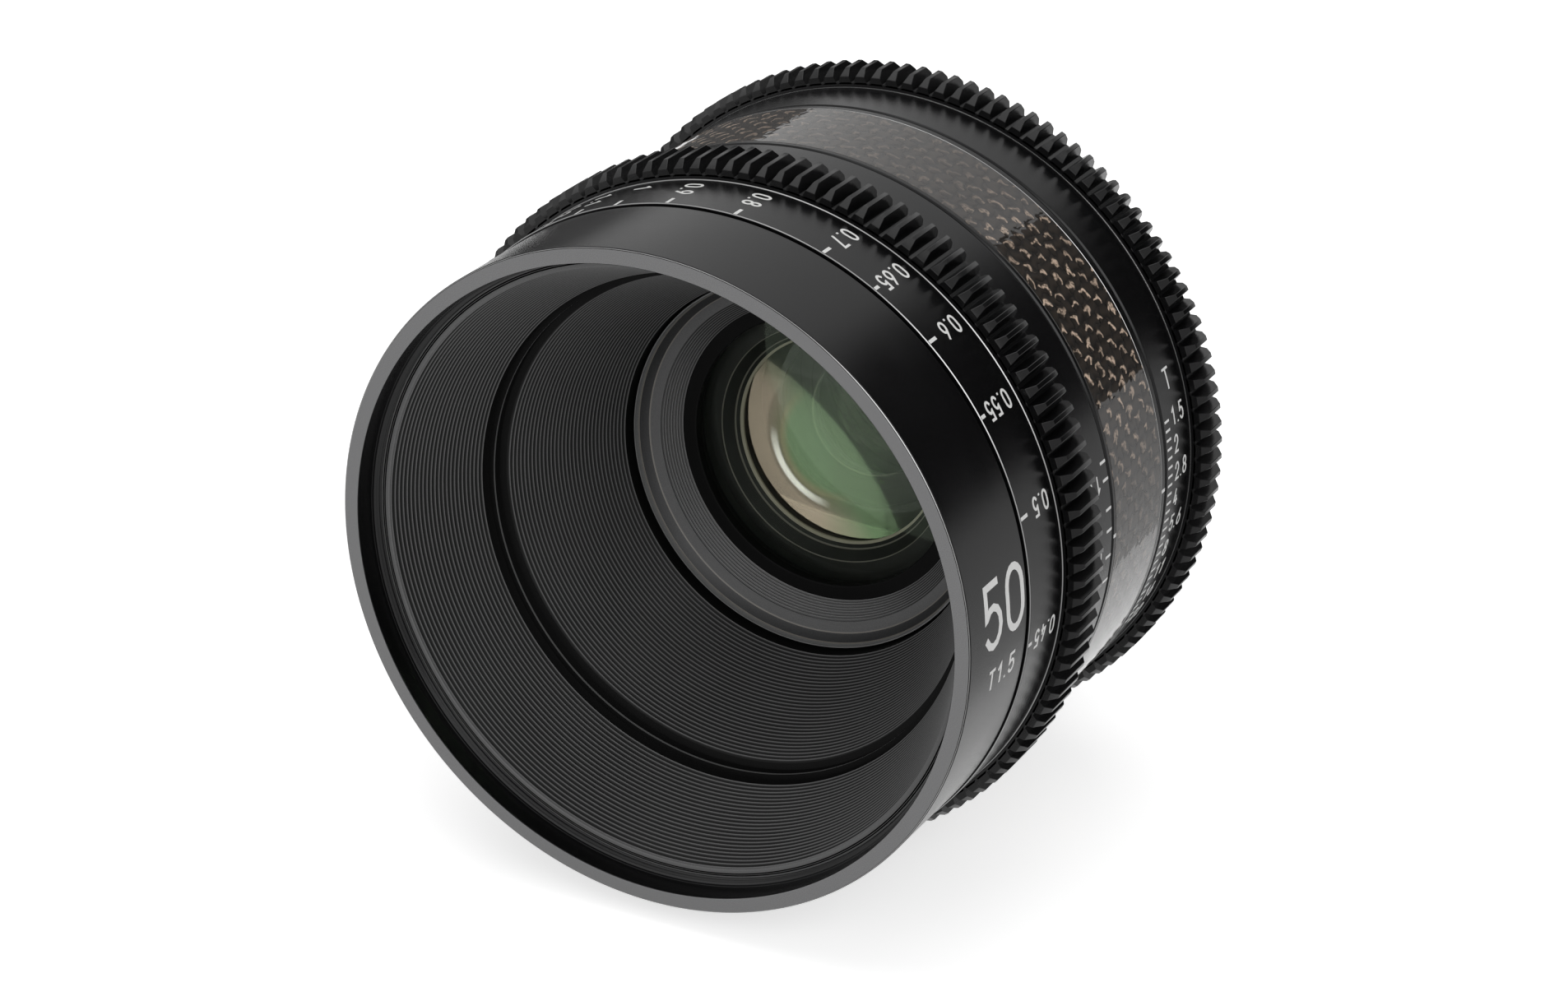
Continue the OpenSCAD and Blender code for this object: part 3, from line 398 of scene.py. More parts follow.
def anodised(name, dark, light, rough_low, rough_high, grain_size, relief, shine=0.5, groove=None):
    """Blasted and anodised aluminium: fine grain, a slow change of sheen, and painted shade that darkens the
    floor of its grooves.
    """
    material, tree, shader = finish_of(name, dark, rough_low, specular_ior_level=shine)
    fine = grain(tree, 1.0 / (grain_size * MM))
    slow = grain(tree, 60.0, 2.0)
    colour = blended(tree, fine, dark, light)
    # Painted shade: the groove colour takes over from just below each crest down to the groove's floor, read
    # from the groove attribute.
    if groove:
        depth = add(tree, "ShaderNodeAttribute", attribute_name="groove").outputs["Fac"]
        low = spread(tree, depth, 0.06, 0.45)
        painted_light = add(tree, "ShaderNodeMix", {"Factor": low, 6: colour}, data_type="RGBA")
        painted_light.inputs["B"].default_value = (*groove, 1.0)
        colour = painted_light.outputs["Result"]
    tree.links.new(colour, shader.inputs["Base Color"])
    tree.links.new(ranged(tree, slow, rough_low, rough_high), shader.inputs["Roughness"])
    bumped(tree, shader, fine, relief * MM)
    return material


def lathe_lines(tree, scale):
    """Fine uneven rings of a turned face or bore, by radius and depth."""
    where = add(tree, "ShaderNodeSeparateXYZ", {0: add(tree, "ShaderNodeTexCoord").outputs["Object"]}).outputs
    flat = add(tree, "ShaderNodeCombineXYZ", {0: where[0], 1: where[2]})
    radius = vectors(tree, "LENGTH", flat.outputs[0])["Value"]
    rows = add(tree, "ShaderNodeCombineXYZ", {0: radius, 1: where[1]})
    lines = add(tree, "ShaderNodeTexNoise", {"Vector": rows.outputs[0], "Scale": scale, "Detail": 2.0})
    return lines.outputs[0]


def turned_metal(name, dark, light, rough_low, rough_high, relief):
    """Bare metal with the fine rings of the lathe."""
    material, tree, shader = finish_of(name, dark, rough_low, 1.0)
    lines = lathe_lines(tree, 9000.0)
    tree.links.new(blended(tree, lines, dark, light), shader.inputs["Base Color"])
    tree.links.new(ranged(tree, lines, rough_low, rough_high), shader.inputs["Roughness"])
    bumped(tree, shader, lines, relief * MM)
    return material


def woven_carbon():
    """Plain weave of carbon under a clear coat, laid around the tube.

    The strands cross in cells. Every second cell gets a painted highlight, a bright arch where its strand
    bends, brighter at some turns of the tube than at others.
    """
    material, tree, shader = finish_of("woven_carbon", (0.02, 0.018, 0.016), 0.5, coat_weight=0.85,
                                       coat_roughness=0.025, specular_ior_level=0.1)
    maths = sums(tree)
    cells = 158.0
    unevenness = 1.3
    spot_in = add(tree, "ShaderNodeTexCoord").outputs["Object"]
    drift = add(tree, "ShaderNodeTexNoise", {"Vector": spot_in, "Scale": 520.0, "Detail": 1.0})
    strands = add(tree, "ShaderNodeTexNoise", {"Vector": spot_in, "Scale": 2600.0, "Detail": 2.0}).outputs[0]
    bend = add(tree, "ShaderNodeSeparateXYZ", {0: drift.outputs["Color"]}).outputs
    where = add(tree, "ShaderNodeSeparateXYZ", {0: spot_in}).outputs
    angle = maths("ARCTAN2", where[2], where[0])
    across = maths("MULTIPLY", angle, cells / (2 * math.pi))
    across = maths("ADD", across, maths("MULTIPLY", bend[0], unevenness))
    along = maths("MULTIPLY", where[1], cells / (2 * math.pi * BAND_R * MM))
    along = maths("ADD", along, maths("MULTIPLY", bend[1], unevenness))
    row = maths("FLOOR", across)
    column = maths("FLOOR", along)
    over = maths("FLOORED_MODULO", maths("ADD", row, column), 2.0)
    u = maths("SUBTRACT", maths("FRACT", across), 0.5)
    v = maths("SUBTRACT", maths("FRACT", along), 0.5)
    bend_u = maths("COSINE", maths("MULTIPLY", u, math.pi))
    bend_v = maths("COSINE", maths("MULTIPLY", v, math.pi))
    height = add(tree, "ShaderNodeMix", {"Factor": over, 2: bend_u, 3: bend_v}).outputs[0]
    cell = add(tree, "ShaderNodeCombineXYZ", {0: row, 1: column}).outputs[0]
    chance = add(tree, "ShaderNodeTexWhiteNoise", {"Vector": cell}, noise_dimensions="2D").outputs[0]
    upward = maths("ADD", u, v)
    aside = maths("SUBTRACT", u, v)
    arch = maths("ADD", upward, maths("MULTIPLY", maths("MULTIPLY", aside, aside), 1.5))
    line = spread(tree, maths("ABSOLUTE", maths("SUBTRACT", arch, 0.15)), 0.36, 0.12)
    ends = spread(tree, maths("ABSOLUTE", aside), 0.85, 0.55)
    glint_arch = maths("MULTIPLY", maths("MULTIPLY", line, ends), spread(tree, strands, 0.3, 0.55))
    painted_glints = maths("MULTIPLY", maths("MULTIPLY", glint_arch, over), spread(tree, chance, -0.9, 0.7))
    # Painted highlight: the glints fade and return four times around the tube, as if they caught lamps at
    # those turns. The crowns of the weave are also painted a little lighter.
    glint_turn_wave = maths("COSINE", maths("MULTIPLY_ADD", angle, 4.0, -2.4))
    painted_glint_level = add(tree, "ShaderNodeMapRange", {
        "Value": glint_turn_wave, "From Min": -0.5, "From Max": 0.9, "To Min": 0.12}).outputs[0]
    glints_and_crowns = maths("ADD", maths("MULTIPLY", painted_glints, painted_glint_level), maths("MULTIPLY", height, 0.03))
    colour = blended(tree, glints_and_crowns, (0.004, 0.0033, 0.0029), (0.68, 0.52, 0.4))
    tree.links.new(colour, shader.inputs["Base Color"])
    bumped(tree, shader, height, 0.05 * MM)
    bumped(tree, shader, height, 0.006 * MM, "Coat Normal")
    return material


# Painted reflection inside the second glass: the size of its pattern and its colours from the middle out.
PAINTED_REFLECTION_RIM = 16.0
PAINTED_REFLECTION_SHADES = (
    (0.0, (0.09, 0.14, 0.08)), (0.46, (0.1, 0.15, 0.085)), (0.54, (0.17, 0.155, 0.1)),
    (0.57, (0.12, 0.115, 0.08)), (0.7, (0.15, 0.125, 0.1)), (0.74, (0.22, 0.178, 0.145)))


def painted_reflection_tone(tree, where):
    """Colour of a painted reflection in a glass: green, then amber around it on one side, with a painted
    highlight, a light crescent, on the lower left.
    """
    maths = sums(tree)
    share = 1 / (PAINTED_REFLECTION_RIM * MM)
    flat = vectors(tree, "MULTIPLY", where, (share, 0.0, share))[0]
    radius = vectors(tree, "LENGTH", flat)["Value"]
    shades = add(tree, "ShaderNodeValToRGB", {"Fac": radius})
    stops = shades.color_ramp.elements
    for place, colour in PAINTED_REFLECTION_SHADES:
        stop = stops.new(place)
        stop.color = (*colour, 1.0)
    stops.remove(stops[0])
    stops[len(stops) - 1].color = (0.2, 0.162, 0.132, 1.0)
    highlight_side = maths("DIVIDE", vectors(tree, "DOT_PRODUCT", flat, (-0.75, 0.0, -0.66))["Value"], radius)
    off = maths("ABSOLUTE", maths("SUBTRACT", radius, 0.635))
    painted_crescent = maths("MULTIPLY", spread(tree, highlight_side, 0.72, 0.97), spread(tree, off, 0.055, 0.025))
    tone = add(tree, "ShaderNodeMix", {"Factor": painted_crescent, 6: shades.outputs[0]}, data_type="RGBA")
    tone.inputs["B"].default_value = (0.62, 0.6, 0.58, 1.0)
    amber_side = maths("DIVIDE", vectors(tree, "DOT_PRODUCT", flat, (-0.9, 0.0, -0.43))["Value"], radius)
    amber = spread(tree, amber_side, 0.1, 0.65)
    whole = add(tree, "ShaderNodeMix", {"Factor": amber, 7: tone.outputs["Result"]}, data_type="RGBA")
    whole.inputs["A"].default_value = (0.085, 0.125, 0.072, 1.0)
    return whole.outputs["Result"]


def coated_glass(name, tint, strength, clear, painted_bowl=None):
    """Glass face with a coloured coating: it lets the view through and reflects a share of the light.

    A painted_bowl, a radius in metres, adds a painted reflection: a glossy layer whose normal is bent as if a
    hollow face lay further in, with its colour painted by place.
    """
    material = bpy.data.materials.new(name)
    material.use_nodes = True
    material.diffuse_color = (*tint, 0.3)
    tree = material.node_tree
    tree.nodes.remove(tree.nodes["Principled BSDF"])
    wipe = ranged(tree, grain(tree, 220.0, 4.0), 0.02, 0.024)
    through = add(tree, "ShaderNodeBsdfTransparent", {"Color": (*clear, 1.0)})
    mirror = add(tree, "ShaderNodeBsdfGlossy", {"Color": (*tint, 1.0), "Roughness": wipe})
    share = add(tree, "ShaderNodeFresnel", {"IOR": 1.52}).outputs[0]
    boosted = sums(tree)("MULTIPLY", share, strength, use_clamp=True)
    mix = add(tree, "ShaderNodeMixShader", {"Fac": boosted, 1: through.outputs[0], 2: mirror.outputs[0]})
    # Painted reflection: green and amber painted by place, on a bent normal.
    if painted_bowl:
        where = add(tree, "ShaderNodeTexCoord").outputs["Object"]
        bent_normal = vectors(tree, "MULTIPLY_ADD", where, (-1 / painted_bowl, 0.0, -1 / painted_bowl), (0.0, -1.0, 0.0))[0]
        normal = vectors(tree, "NORMALIZE", bent_normal)[0]
        painted_light = add(tree, "ShaderNodeBsdfGlossy", {
            "Color": painted_reflection_tone(tree, where), "Roughness": 0.045, "Normal": normal})
        mix = add(tree, "ShaderNodeAddShader", {0: mix.outputs[0], 1: painted_light.outputs[0]})
    tree.links.new(mix.outputs[0], tree.nodes["Material Output"].inputs["Surface"])
    return material


BLACK = anodised(
    "satin_black", (0.002, 0.002, 0.0022), (0.004, 0.004, 0.0043), 0.19, 0.25, 0.12, 0.003, 0.25)
# The rim's front face gets a light grey far above the black of the ring: painted sheen for the light that
# face catches.
RIM = anodised("rim_black", (0.12, 0.12, 0.122), (0.17, 0.17, 0.172), 0.34, 0.42, 0.12, 0.004)
MATTE = anodised("matte_black", (0.005, 0.005, 0.005), (0.01, 0.01, 0.01), 0.5, 0.6, 0.1, 0.006, 0.35)
VELVET = anodised("velvet_black", (0.002, 0.002, 0.002), (0.005, 0.005, 0.005), 0.55, 0.65, 0.1, 0.006, 0.08)
# The ridged walls inside get a light grey base for black anodising, painted sheen for the light they catch;
# the last colour is painted shade in their grooves.
RIDGED = anodised("ridged_black", (0.11, 0.11, 0.1105), (0.145, 0.145, 0.1456), 0.42, 0.52, 0.1, 0.004, 0.16,
                  (0.002, 0.002, 0.002))
# The nose ring gets a lighter grey still, painted sheen for the light on its dish, and painted shade in its
# grooves.
NOSE = anodised("nose_black", (0.15, 0.15, 0.1505), (0.2, 0.2, 0.2005), 0.3, 0.36, 0.1, 0.004, 0.45,
                (0.008, 0.008, 0.008))
# Painted highlight: a light colour on thin rings and edges, in place of the lines of light they catch.
PAINTED_HIGHLIGHT = anodised("bright_edge", (0.16, 0.15, 0.135), (0.22, 0.205, 0.185), 0.3, 0.4, 0.1, 0.002)
CREAM = anodised("glass_edge", (0.42, 0.38, 0.31), (0.5, 0.46, 0.38), 0.4, 0.5, 0.1, 0.002)
INNER = anodised("inner_black", (0.02, 0.02, 0.021), (0.032, 0.032, 0.033), 0.4, 0.5, 0.15, 0.004)
BLADE = anodised("blade_black", (0.03, 0.03, 0.032), (0.045, 0.045, 0.048), 0.35, 0.45, 0.2, 0.002)
PAINT = anodised("white_paint", (0.72, 0.72, 0.71), (0.8, 0.8, 0.79), 0.5, 0.6, 0.08, 0.003)
STEEL = turned_metal("mount_steel", (0.5, 0.5, 0.51), (0.66, 0.66, 0.66), 0.18, 0.34, 0.002)
BOLT = turned_metal("fastener_steel", (0.42, 0.42, 0.44), (0.55, 0.55, 0.56), 0.25, 0.4, 0.002)
EDGE = turned_metal("cut_edge", (0.25, 0.25, 0.25), (0.34, 0.34, 0.34), 0.24, 0.36, 0.001)
BRASS = turned_metal("turned_brass", (0.6, 0.45, 0.2), (0.74, 0.58, 0.3), 0.25, 0.4, 0.002)
CARBON = woven_carbon()
GREEN_COAT = coated_glass("green_coat", (0.86, 1.0, 0.84), 0.35, (0.95, 0.97, 0.94))
FAINT_COAT = coated_glass("faint_coat", (0.85, 1.0, 0.8), 0.2, (0.96, 0.97, 0.95))
AMBER_COAT = coated_glass("amber_coat", (0.8, 1.0, 0.76), 0.25, (0.96, 0.95, 0.92), 0.052)


# Pieces

def piece(name, mesh, body, slot, finishes, *nodes):
    """Puts a finished mesh on a body, in place of its CAD nodes."""
    numbers = [face.material_index for face in mesh.polygons]
    many = isinstance(finishes, list)
    mesh.materials.clear()
    for finish in finishes if many else [finishes]:
        mesh.materials.append(finish)
    if many:
        mesh.polygons.foreach_set("material_index", numbers)
    obj = placed(name, mesh)
    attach(obj, body)
    if nodes:
        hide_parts(*nodes)


def tooth(start, end):
    """One gear tooth between two depths, bevelled at both ends."""
    low = ROOT_R - 0.3
    bevel = TIP_R - 0.95
    sections = []
    for depth, top in ((start, bevel), (start + 1.4, TIP_R), (end - 1.1, TIP_R), (end, bevel)):
        section = []
        for radius, side in ((low, -1), (low, 1), (top, 1), (top, -1)):
            half = side * (TOOTH_HALF - (radius - TOOTH_PITCH_R) * TOOTH_SLOPE)
            section.append((math.sqrt(radius ** 2 - half ** 2) * MM, (depth - LENGTH) * MM, half * MM))
        sections.append(section)
    shape = bmesh.new()
    points, faces = block(sections)
    corners = [shape.verts.new(p) for p in points]
    for face in faces:
        shape.faces.new([corners[i] for i in face])
    bmesh.ops.recalc_face_normals(shape, faces=shape.faces)
    upper = [e for e in shape.edges if all(v.co.x > (ROOT_R + 0.2) * MM for v in e.verts)]
    bmesh.ops.bevel(shape, geom=upper, offset=0.05 * MM, segments=1, affect="EDGES")
    return poured(shape, "tooth")


def edged(mesh, *edges):
    """Gives number 1 to the chamfers whose middles are at the radii and depths, and 0 to the rest."""
    for face in mesh.polygons:
        radius, depth = place_of(face)
        face.material_index = int(any(math.hypot(radius - r, depth - s) < 0.05 for r, s in edges))


def geared(name, corners, gear):
    """Turned ring with its teeth between the two depths of its gear."""
    ring = turned(name + "_ring", corners)
    teeth = around_ring(name + "_teeth", tooth(*gear), TEETH, 0.0, 360.0 / TEETH, BLACK)
    return joined(name, [ring, teeth], sharp=22.0)


def front_ring():
    """Fixed ring at the front, with its recess and thread."""
    ring = turned("front_ring", [
        (45.2, 0, 0.2), (47.25, 0, 0.03), (FRONT_R, 0.25, 0.03), (FRONT_R, 16.85), (47.25, 17.1),
        (SEAT_R, 17.1), (SEAT_R, 11.45), (42.9, 11.45), (42.9, 9.95), (SEAT_R, 9.95), (SEAT_R, 7.3),
        (44.5, 7.3), (44.5, 4.75), (44.86, 4.55), (44.5, 4.2), (44.9, 3.9), (44.55, 3.6), (44.85, 3.4),
        (45.2, 3.4)], 0.06)
    edged(ring, (47.375, 0.125))
    # The front face takes the light rim grey, painted sheen.
    for face in ring.polygons:
        if face.normal.y < -0.75 and place_of(face)[1] < 0.1:
            face.material_index = 2
    piece("front_ring_shell", ring, "barrel", "black_anodised", [BLACK, EDGE, RIM], "front_ring")


def focus_ring():
    """Turning ring with the distance scales. A bead runs along the gear's foot."""
    start, end = FOCUS_GEAR
    bead = BAND_R + 0.13
    ring = geared("focus_ring_shell", [
        (RING_BORE, 17.4), (47.67, 17.4, 0.02), (BAND_R, 17.53, 0.02), (BAND_R, 27.28, 0.02),
        (bead, 27.41, 0.02), (bead, start, 0.0), (ROOT_R, start, 0.05), (ROOT_R, end, 0.1),
        (BAND_R, end, 0.1), (BAND_R, 43.45, 0.05), (47.55, 43.7, 0.05), (44.98, 43.7), (44.98, 29.6),
        (RING_BORE, 29.6), (RING_BORE, 26.1), (44.7, 26.1), (44.7, 23.5), (RING_BORE, 23.5)], FOCUS_GEAR)
    edged(ring, (47.735, 17.465), (BAND_R + 0.065, 27.345))
    piece("focus_ring_shell", ring, "focus", "black_anodised", [BLACK, EDGE], "focus_ring")


def iris_ring():
    """Turning ring with the stop scale and a bead like the focus ring's."""
    start, end = IRIS_GEAR
    bead = BAND_R + 0.18
    ring = geared("iris_ring_shell", [
        (RING_BORE, 62.3), (47.55, 62.3, 0.05), (BAND_R, 62.55, 0.05), (BAND_R, 70.65, 0.02),
        (bead, 70.83, 0.02), (bead, start, 0.0), (ROOT_R, start, 0.05), (ROOT_R, end, 0.1), (RING_BORE, end),
        (RING_BORE, 75.6), (46.1, 75.6), (46.1, 64.4), (RING_BORE, 64.4)], IRIS_GEAR)
    edged(ring, (BAND_R + 0.09, 70.74))
    piece("iris_ring_shell", ring, "iris", "black_anodised", [BLACK, EDGE], "iris_ring")


def sleeves():
    """Fixed sleeve, index ring and carbon tube between the two turning rings."""
    sleeve = turned("fixed_sleeve_shell", [
        (SEAT_R, 44.0), (47.0, 44.0), (47.0, 60.65), (47.68, 60.65, 0.02), (BAND_R, 60.77, 0.02),
        (BAND_R, 61.75, 0.06), (47.55, 62.0, 0.06), (SEAT_R, 62.0)], 0.05)
    edged(sleeve, (47.74, 60.71))
    piece("fixed_sleeve_shell", sleeve, "barrel", "black_anodised", [BLACK, EDGE], "fixed_sleeve")
    ring = turned("index_ring_shell", [
        (47.02, 44.0), (47.55, 44.0), (BAND_R, 44.25), (BAND_R, 44.8, 0.02), (47.7, 44.9, 0.02),
        (47.02, 44.9)], 0.05)
    edged(ring, (47.75, 44.85))
    piece("index_ring_shell", ring, "barrel", "black_anodised", [BLACK, EDGE], "index_ring")
    tube = turned("carbon_tube", [(47.02, 44.92), (BAND_R, 44.92), (BAND_R, 60.63), (47.02, 60.63)], 0.08)
    piece("carbon_tube", tube, "barrel", "carbon_fibre", CARBON, "carbon_sleeve")


def cone(depth):
    """Radius of the baffle cone at a depth."""
    return CONE_R - CONE_SLOPE * (depth - CONE_START)


def ridged_piece(name, body, finishes, zone, wall, outline, node):
    """Piece with a ridged wall and a plain outline from the wall's end back to its start.

    The zone gives the number of the finish from the radius and depth of a face.
    """
    rest = mesh_of(name + "_back", *lathe(outline, closed=False))
    mesh = joined(name, [wall, rest], weld=0.000002, sharp=50.0)
    for face in mesh.polygons:
        face.material_index = zone(*place_of(face))
    piece(name, mesh, body, "matte_black", finishes, node)


def baffle_zone(radius, depth):
    """Number 1 for the light traps beside the joint, the lip's grooves and the tail, 0 for the rest."""
    trap = CREST - 0.01 < abs(depth - JOINT) < TRAP and radius > cone(depth) + 0.1
    groove = 43.7 < radius < 44.3 and 4.72 < depth < 5.0
    return 1 if trap or groove or depth > CONE_END else 0


def nose_zone(radius, depth):
    """Number 1 for the dark slope of the lip, 2 for its two edges with painted highlights, 3 for the land, 0
    for the rest.
    """
    if depth < 47.3 and (26.36 < radius < 26.49 or 27.46 < radius < 27.59):
        return 2
    if depth < 47.6 and 24.95 < radius < 26.36:
        return 3
    return 1 if depth < 47.3 and 26.5 < radius < 27.45 else 0


def baffles():
    """Two ridged cones. A light trap lies on each side of the thin crest where they meet."""
    crest = cone(JOINT)
    start, end = 5.1, JOINT - TRAP
    before = JOINT - TRAP_FLOOR
    wall = ridged("front_ridges", (cone(start), start), (cone(end), end), 23, RIDGE_DEPTH, RIDGED)
    ridged_piece("front_baffle_shell", "barrel", [RIDGED, VELVET], baffle_zone, wall, [
        (cone(end), end), (cone(before) + TRAP_DEPTH, before), (crest + TRAP_DEPTH, JOINT - CREST),
        (crest, JOINT - CREST), (crest, JOINT), (38.633, JOINT), (38.633, 18.9), (cone(18.9) + WALL, 18.9),
        (43.399, 7.3), (44.48, 7.3), (44.48, 4.75), (44.43, 4.7), (44.24, 4.7), (44.14, 4.98), (44.04, 4.7),
        (43.98, 4.7), (43.88, 4.98), (43.78, 4.7), (43.4, 4.7), (43.27, 4.73), (43.2, 4.82), (43.45, 5.0),
        (cone(start), start)][::-1], "front_baffle")
    start, end = JOINT + TRAP, CONE_END
    behind = JOINT + TRAP_FLOOR
    tail = cone(end)
    wall = ridged("rear_ridges", (cone(start), start), (tail, end), 32, RIDGE_DEPTH, RIDGED)
    ridged_piece("rear_baffle_shell", "barrel", [RIDGED, VELVET], baffle_zone, wall, [
        (tail, end), (tail, 54.96), (tail + WALL, 54.96), (tail + WALL, end),
        (cone(behind) + WALL, behind + WALL), (cone(behind) + TRAP_DEPTH + WALL, JOINT + WALL),
        (39.833, JOINT + WALL), (39.833, 18.9), (38.653, 18.9), (38.653, JOINT), (crest, JOINT),
        (crest, JOINT + CREST), (crest + TRAP_DEPTH, JOINT + CREST), (cone(behind) + TRAP_DEPTH, behind),
        (cone(start), start)], "rear_baffle")


def curve_depth(apex, curve, radius):
    """Depth of a glass face at a radius. A positive curve has its middle behind it."""
    return apex + math.copysign(abs(curve) - math.sqrt(curve ** 2 - radius ** 2), curve)


def glass_face(apex, curve, rim, steps=14):
    """Outline of a glass face from the axis to its rim."""
    return [(rim * k / steps, curve_depth(apex, curve, rim * k / steps)) for k in range(steps + 1)]


def solid_turned(name, outline, around, shift=0.0):
    """Smooth closed mesh from an outline that starts and ends on the axis, shifted sideways.

    It is turned with a hair's width at the axis, which is then welded shut.
    """
    hair = 0.002
    outline = [(hair, outline[0][1])] + outline[1:-1] + [(hair, outline[-1][1])]
    points, faces = lathe(outline, around)
    points[:, 0] += shift * MM
    mesh = mesh_of(name, points, faces, 30.0)
    shape = bmesh.new()
    shape.from_mesh(mesh)
    bmesh.ops.remove_doubles(shape, verts=shape.verts, dist=0.000005)
    bmesh.ops.recalc_face_normals(shape, faces=shape.faces)
    shape.to_mesh(mesh)
    shape.free()
    smoothed(mesh, 30.0)
    return mesh


def lens(name, front, rear, rim, around=160):
    """Closed glass between two faces, each an apex and a curve.

    Its front has the number 0, its rear 1 and its edge 2.
    """
    mesh = solid_turned(name, glass_face(*front, rim) + glass_face(*rear, rim)[::-1], around)
    middle = (front[0] + rear[0]) / 2
    for face in mesh.polygons:
        radius, depth = place_of(face)
        if abs(face.normal.y) < 0.2 and radius > rim - 0.3:
            face.material_index = 2
        elif face.normal.y > 0 and depth > middle - 1.5:
            face.material_index = 1
    return mesh


def front_optics():
    """Nose ring, front glasses and their cell, as seen down the front."""
    wall = ridged("dish_ridges", (24.9, 47.7), (22.6, 50.2), 8, 0.16, NOSE)
    ridged_piece("nose_ring_shell", "carrier", [NOSE, INNER, PAINTED_HIGHLIGHT, RIDGED], nose_zone, wall, [
        (22.6, 50.2), (22.6, 51.2), (28.0, 51.2), (28.0, 45.4), (27.9, 45.2), (27.75, 45.2), (27.6, 45.9),
        (27.45, 46.05), (26.75, 46.95), (26.5, 47.1), (26.35, 47.25), (24.9, 47.7)], "nose_ring")
    keeper = turned("front_keeper", [
        (20.4, 50.3), (20.6, 50.2), (22.58, 50.2), (22.58, 52.03), (21.2, 52.03),
        (20.4, curve_depth(*FRONT_FACE, 20.4) - 0.02)], 0.06)
    piece("front_keeper", keeper, "carrier", "matte_black", VELVET, "front_retaining_ring")
    piece("front_glass", lens("front_glass", FRONT_FACE, (52.637, 220), 21.2), "carrier", "coated_glass",
          [GREEN_COAT, FAINT_COAT, MATTE], "glass_1")
    piece("second_glass", lens("second_glass", SECOND_FACE, (59.007, 21), 17.2), "carrier", "coated_glass",
          [AMBER_COAT, FAINT_COAT, MATTE], "glass_2", "glass_3")
    cell = turned("front_cell_shell", [
        (22.6, 51.2), (28.0, 51.2), (28.0, 55.96), (26.5, 55.96), (26.5, 63.855), (17.22, 63.855),
        (17.22, 58.1), (16.1, curve_depth(*SECOND_FACE, 16.1) - 0.02), (15.6, 55.85), (15.6, 55.55),
        (15.95, 55.25), (16.5, 54.85), (16.6, 54.72), (17.94, 53.58), (18.06, 53.46), (20.1, 53.68),
        (21.22, 53.68), (21.22, 52.05), (22.6, 52.05)], 0.01)
    # Number 1 puts painted highlights on two thin front rings; number 2 is the cream of the glass edge on the
    # bore.
    for face in cell.polygons:
        radius = place_of(face)[0]
        if face.normal.y < 0 and (17.9 < radius < 18.08 or 16.45 < radius < 16.64):
            face.material_index = 1
        elif face.normal.y < 0.3 and radius < 15.96:
            face.material_index = 2
    piece("front_cell_shell", cell, "carrier", "matte_black", [MATTE, PAINTED_HIGHLIGHT, CREAM], "front_cell")


def lug(first, last, outer=LUG_R, steps=12):
    """Mount lug between two turns."""
    return arc_block(NECK_R - 0.01, outer, LUG_START, LENGTH, first, last, steps)


def rear_end():
    """Rear barrel, steel mount with four lugs, its screws and the rear glass. The lowest lug is notched."""
    rear = turned("rear_barrel_shell", [
        (SEAT_R, 77.6), (45.5, 77.6), (45.5, 82.55), (45.25, 82.8), (30.0, 82.8), (30.0, 80.2),
        (SEAT_R, 80.2)], 0.06)
    piece("rear_barrel_shell", rear, "barrel", "black_anodised", BLACK, "rear_barrel")
    mount = turned("mount_body", [
        (SPIGOT_BORE, 83.0), (39.5, 83.0), (39.5, MOUNT_FACE), (NECK_R, MOUNT_FACE), (NECK_R, LENGTH, 0.0),
        (SPIGOT_R, LENGTH), (SPIGOT_R, SPIGOT_END - 0.25), (SPIGOT_R - 0.25, SPIGOT_END),
        (SPIGOT_BORE, SPIGOT_END)], 0.08)
    half = 26.0
    low = 270.0
    notch = math.degrees(1.6 / 34.0)
    parts = [mount] + [lug(middle - half, middle + half) for middle in (0.0, 90.0, 180.0)]
    parts.append(lug(low - half, low - notch))
    parts.append(lug(low - notch, low + notch, LUG_R - 2.0, 3))
    parts.append(lug(low + notch, low + half))
    whole = joined("camera_mount_shell", parts, sharp=30.0)
    whole.polygons.foreach_set("material_index", [0] * len(whole.polygons))
    piece("camera_mount_shell", whole, "barrel", "mount_steel", STEEL, "camera_mount")
    head = solid_turned("screw_head", [
        (0, 84.58), (1.45, 84.58), (1.7, 84.54), (1.78, 84.4), (1.0, 83.5), (1.0, 80.95), (0, 80.95)],
        24, SCREW_CIRCLE)
    seat = mesh_of("screw_seat", *lathe([(1.7, 84.3), (2.0, 84.3), (2.0, 84.512), (1.7, 84.512)], 24))
    seat.transform(Matrix.Translation((SCREW_CIRCLE * MM, 0, 0)))
    socket = solid_turned("screw_socket", [(0, 84.4), (0.8, 84.4), (0.8, 84.59), (0, 84.59)], 6, SCREW_CIRCLE)
    turns = (4, 45.0, 90.0)
    shades = joined("screw_shades", [
        around_ring("screw_seats", seat, *turns, MATTE), around_ring("screw_sockets", socket, *turns, MATTE)])
    heads = around_ring("screw_heads", head, *turns, BOLT)
    screws = joined("mount_screw_set", [heads, shades], sharp=30.0)
    piece("mount_screw_set", screws, "barrel", "fastener_steel", [BOLT, MATTE], "mount_screws")
    piece("rear_glass", lens("rear_glass", (88.801, 70), (93.001, -200), 15.98), "carrier", "coated_glass",
          [FAINT_COAT, GREEN_COAT, MATTE], "glass_7")


# Marks

def bow(x, y, wide, high, start, end, steps=10):
    """Points of an arc in a letter's box, between two angles in degrees."""
    angles = [math.radians(start + (end - start) * k / steps) for k in range(steps + 1)]
    return [(x + wide * math.cos(a), y + high * math.sin(a)) for a in angles]


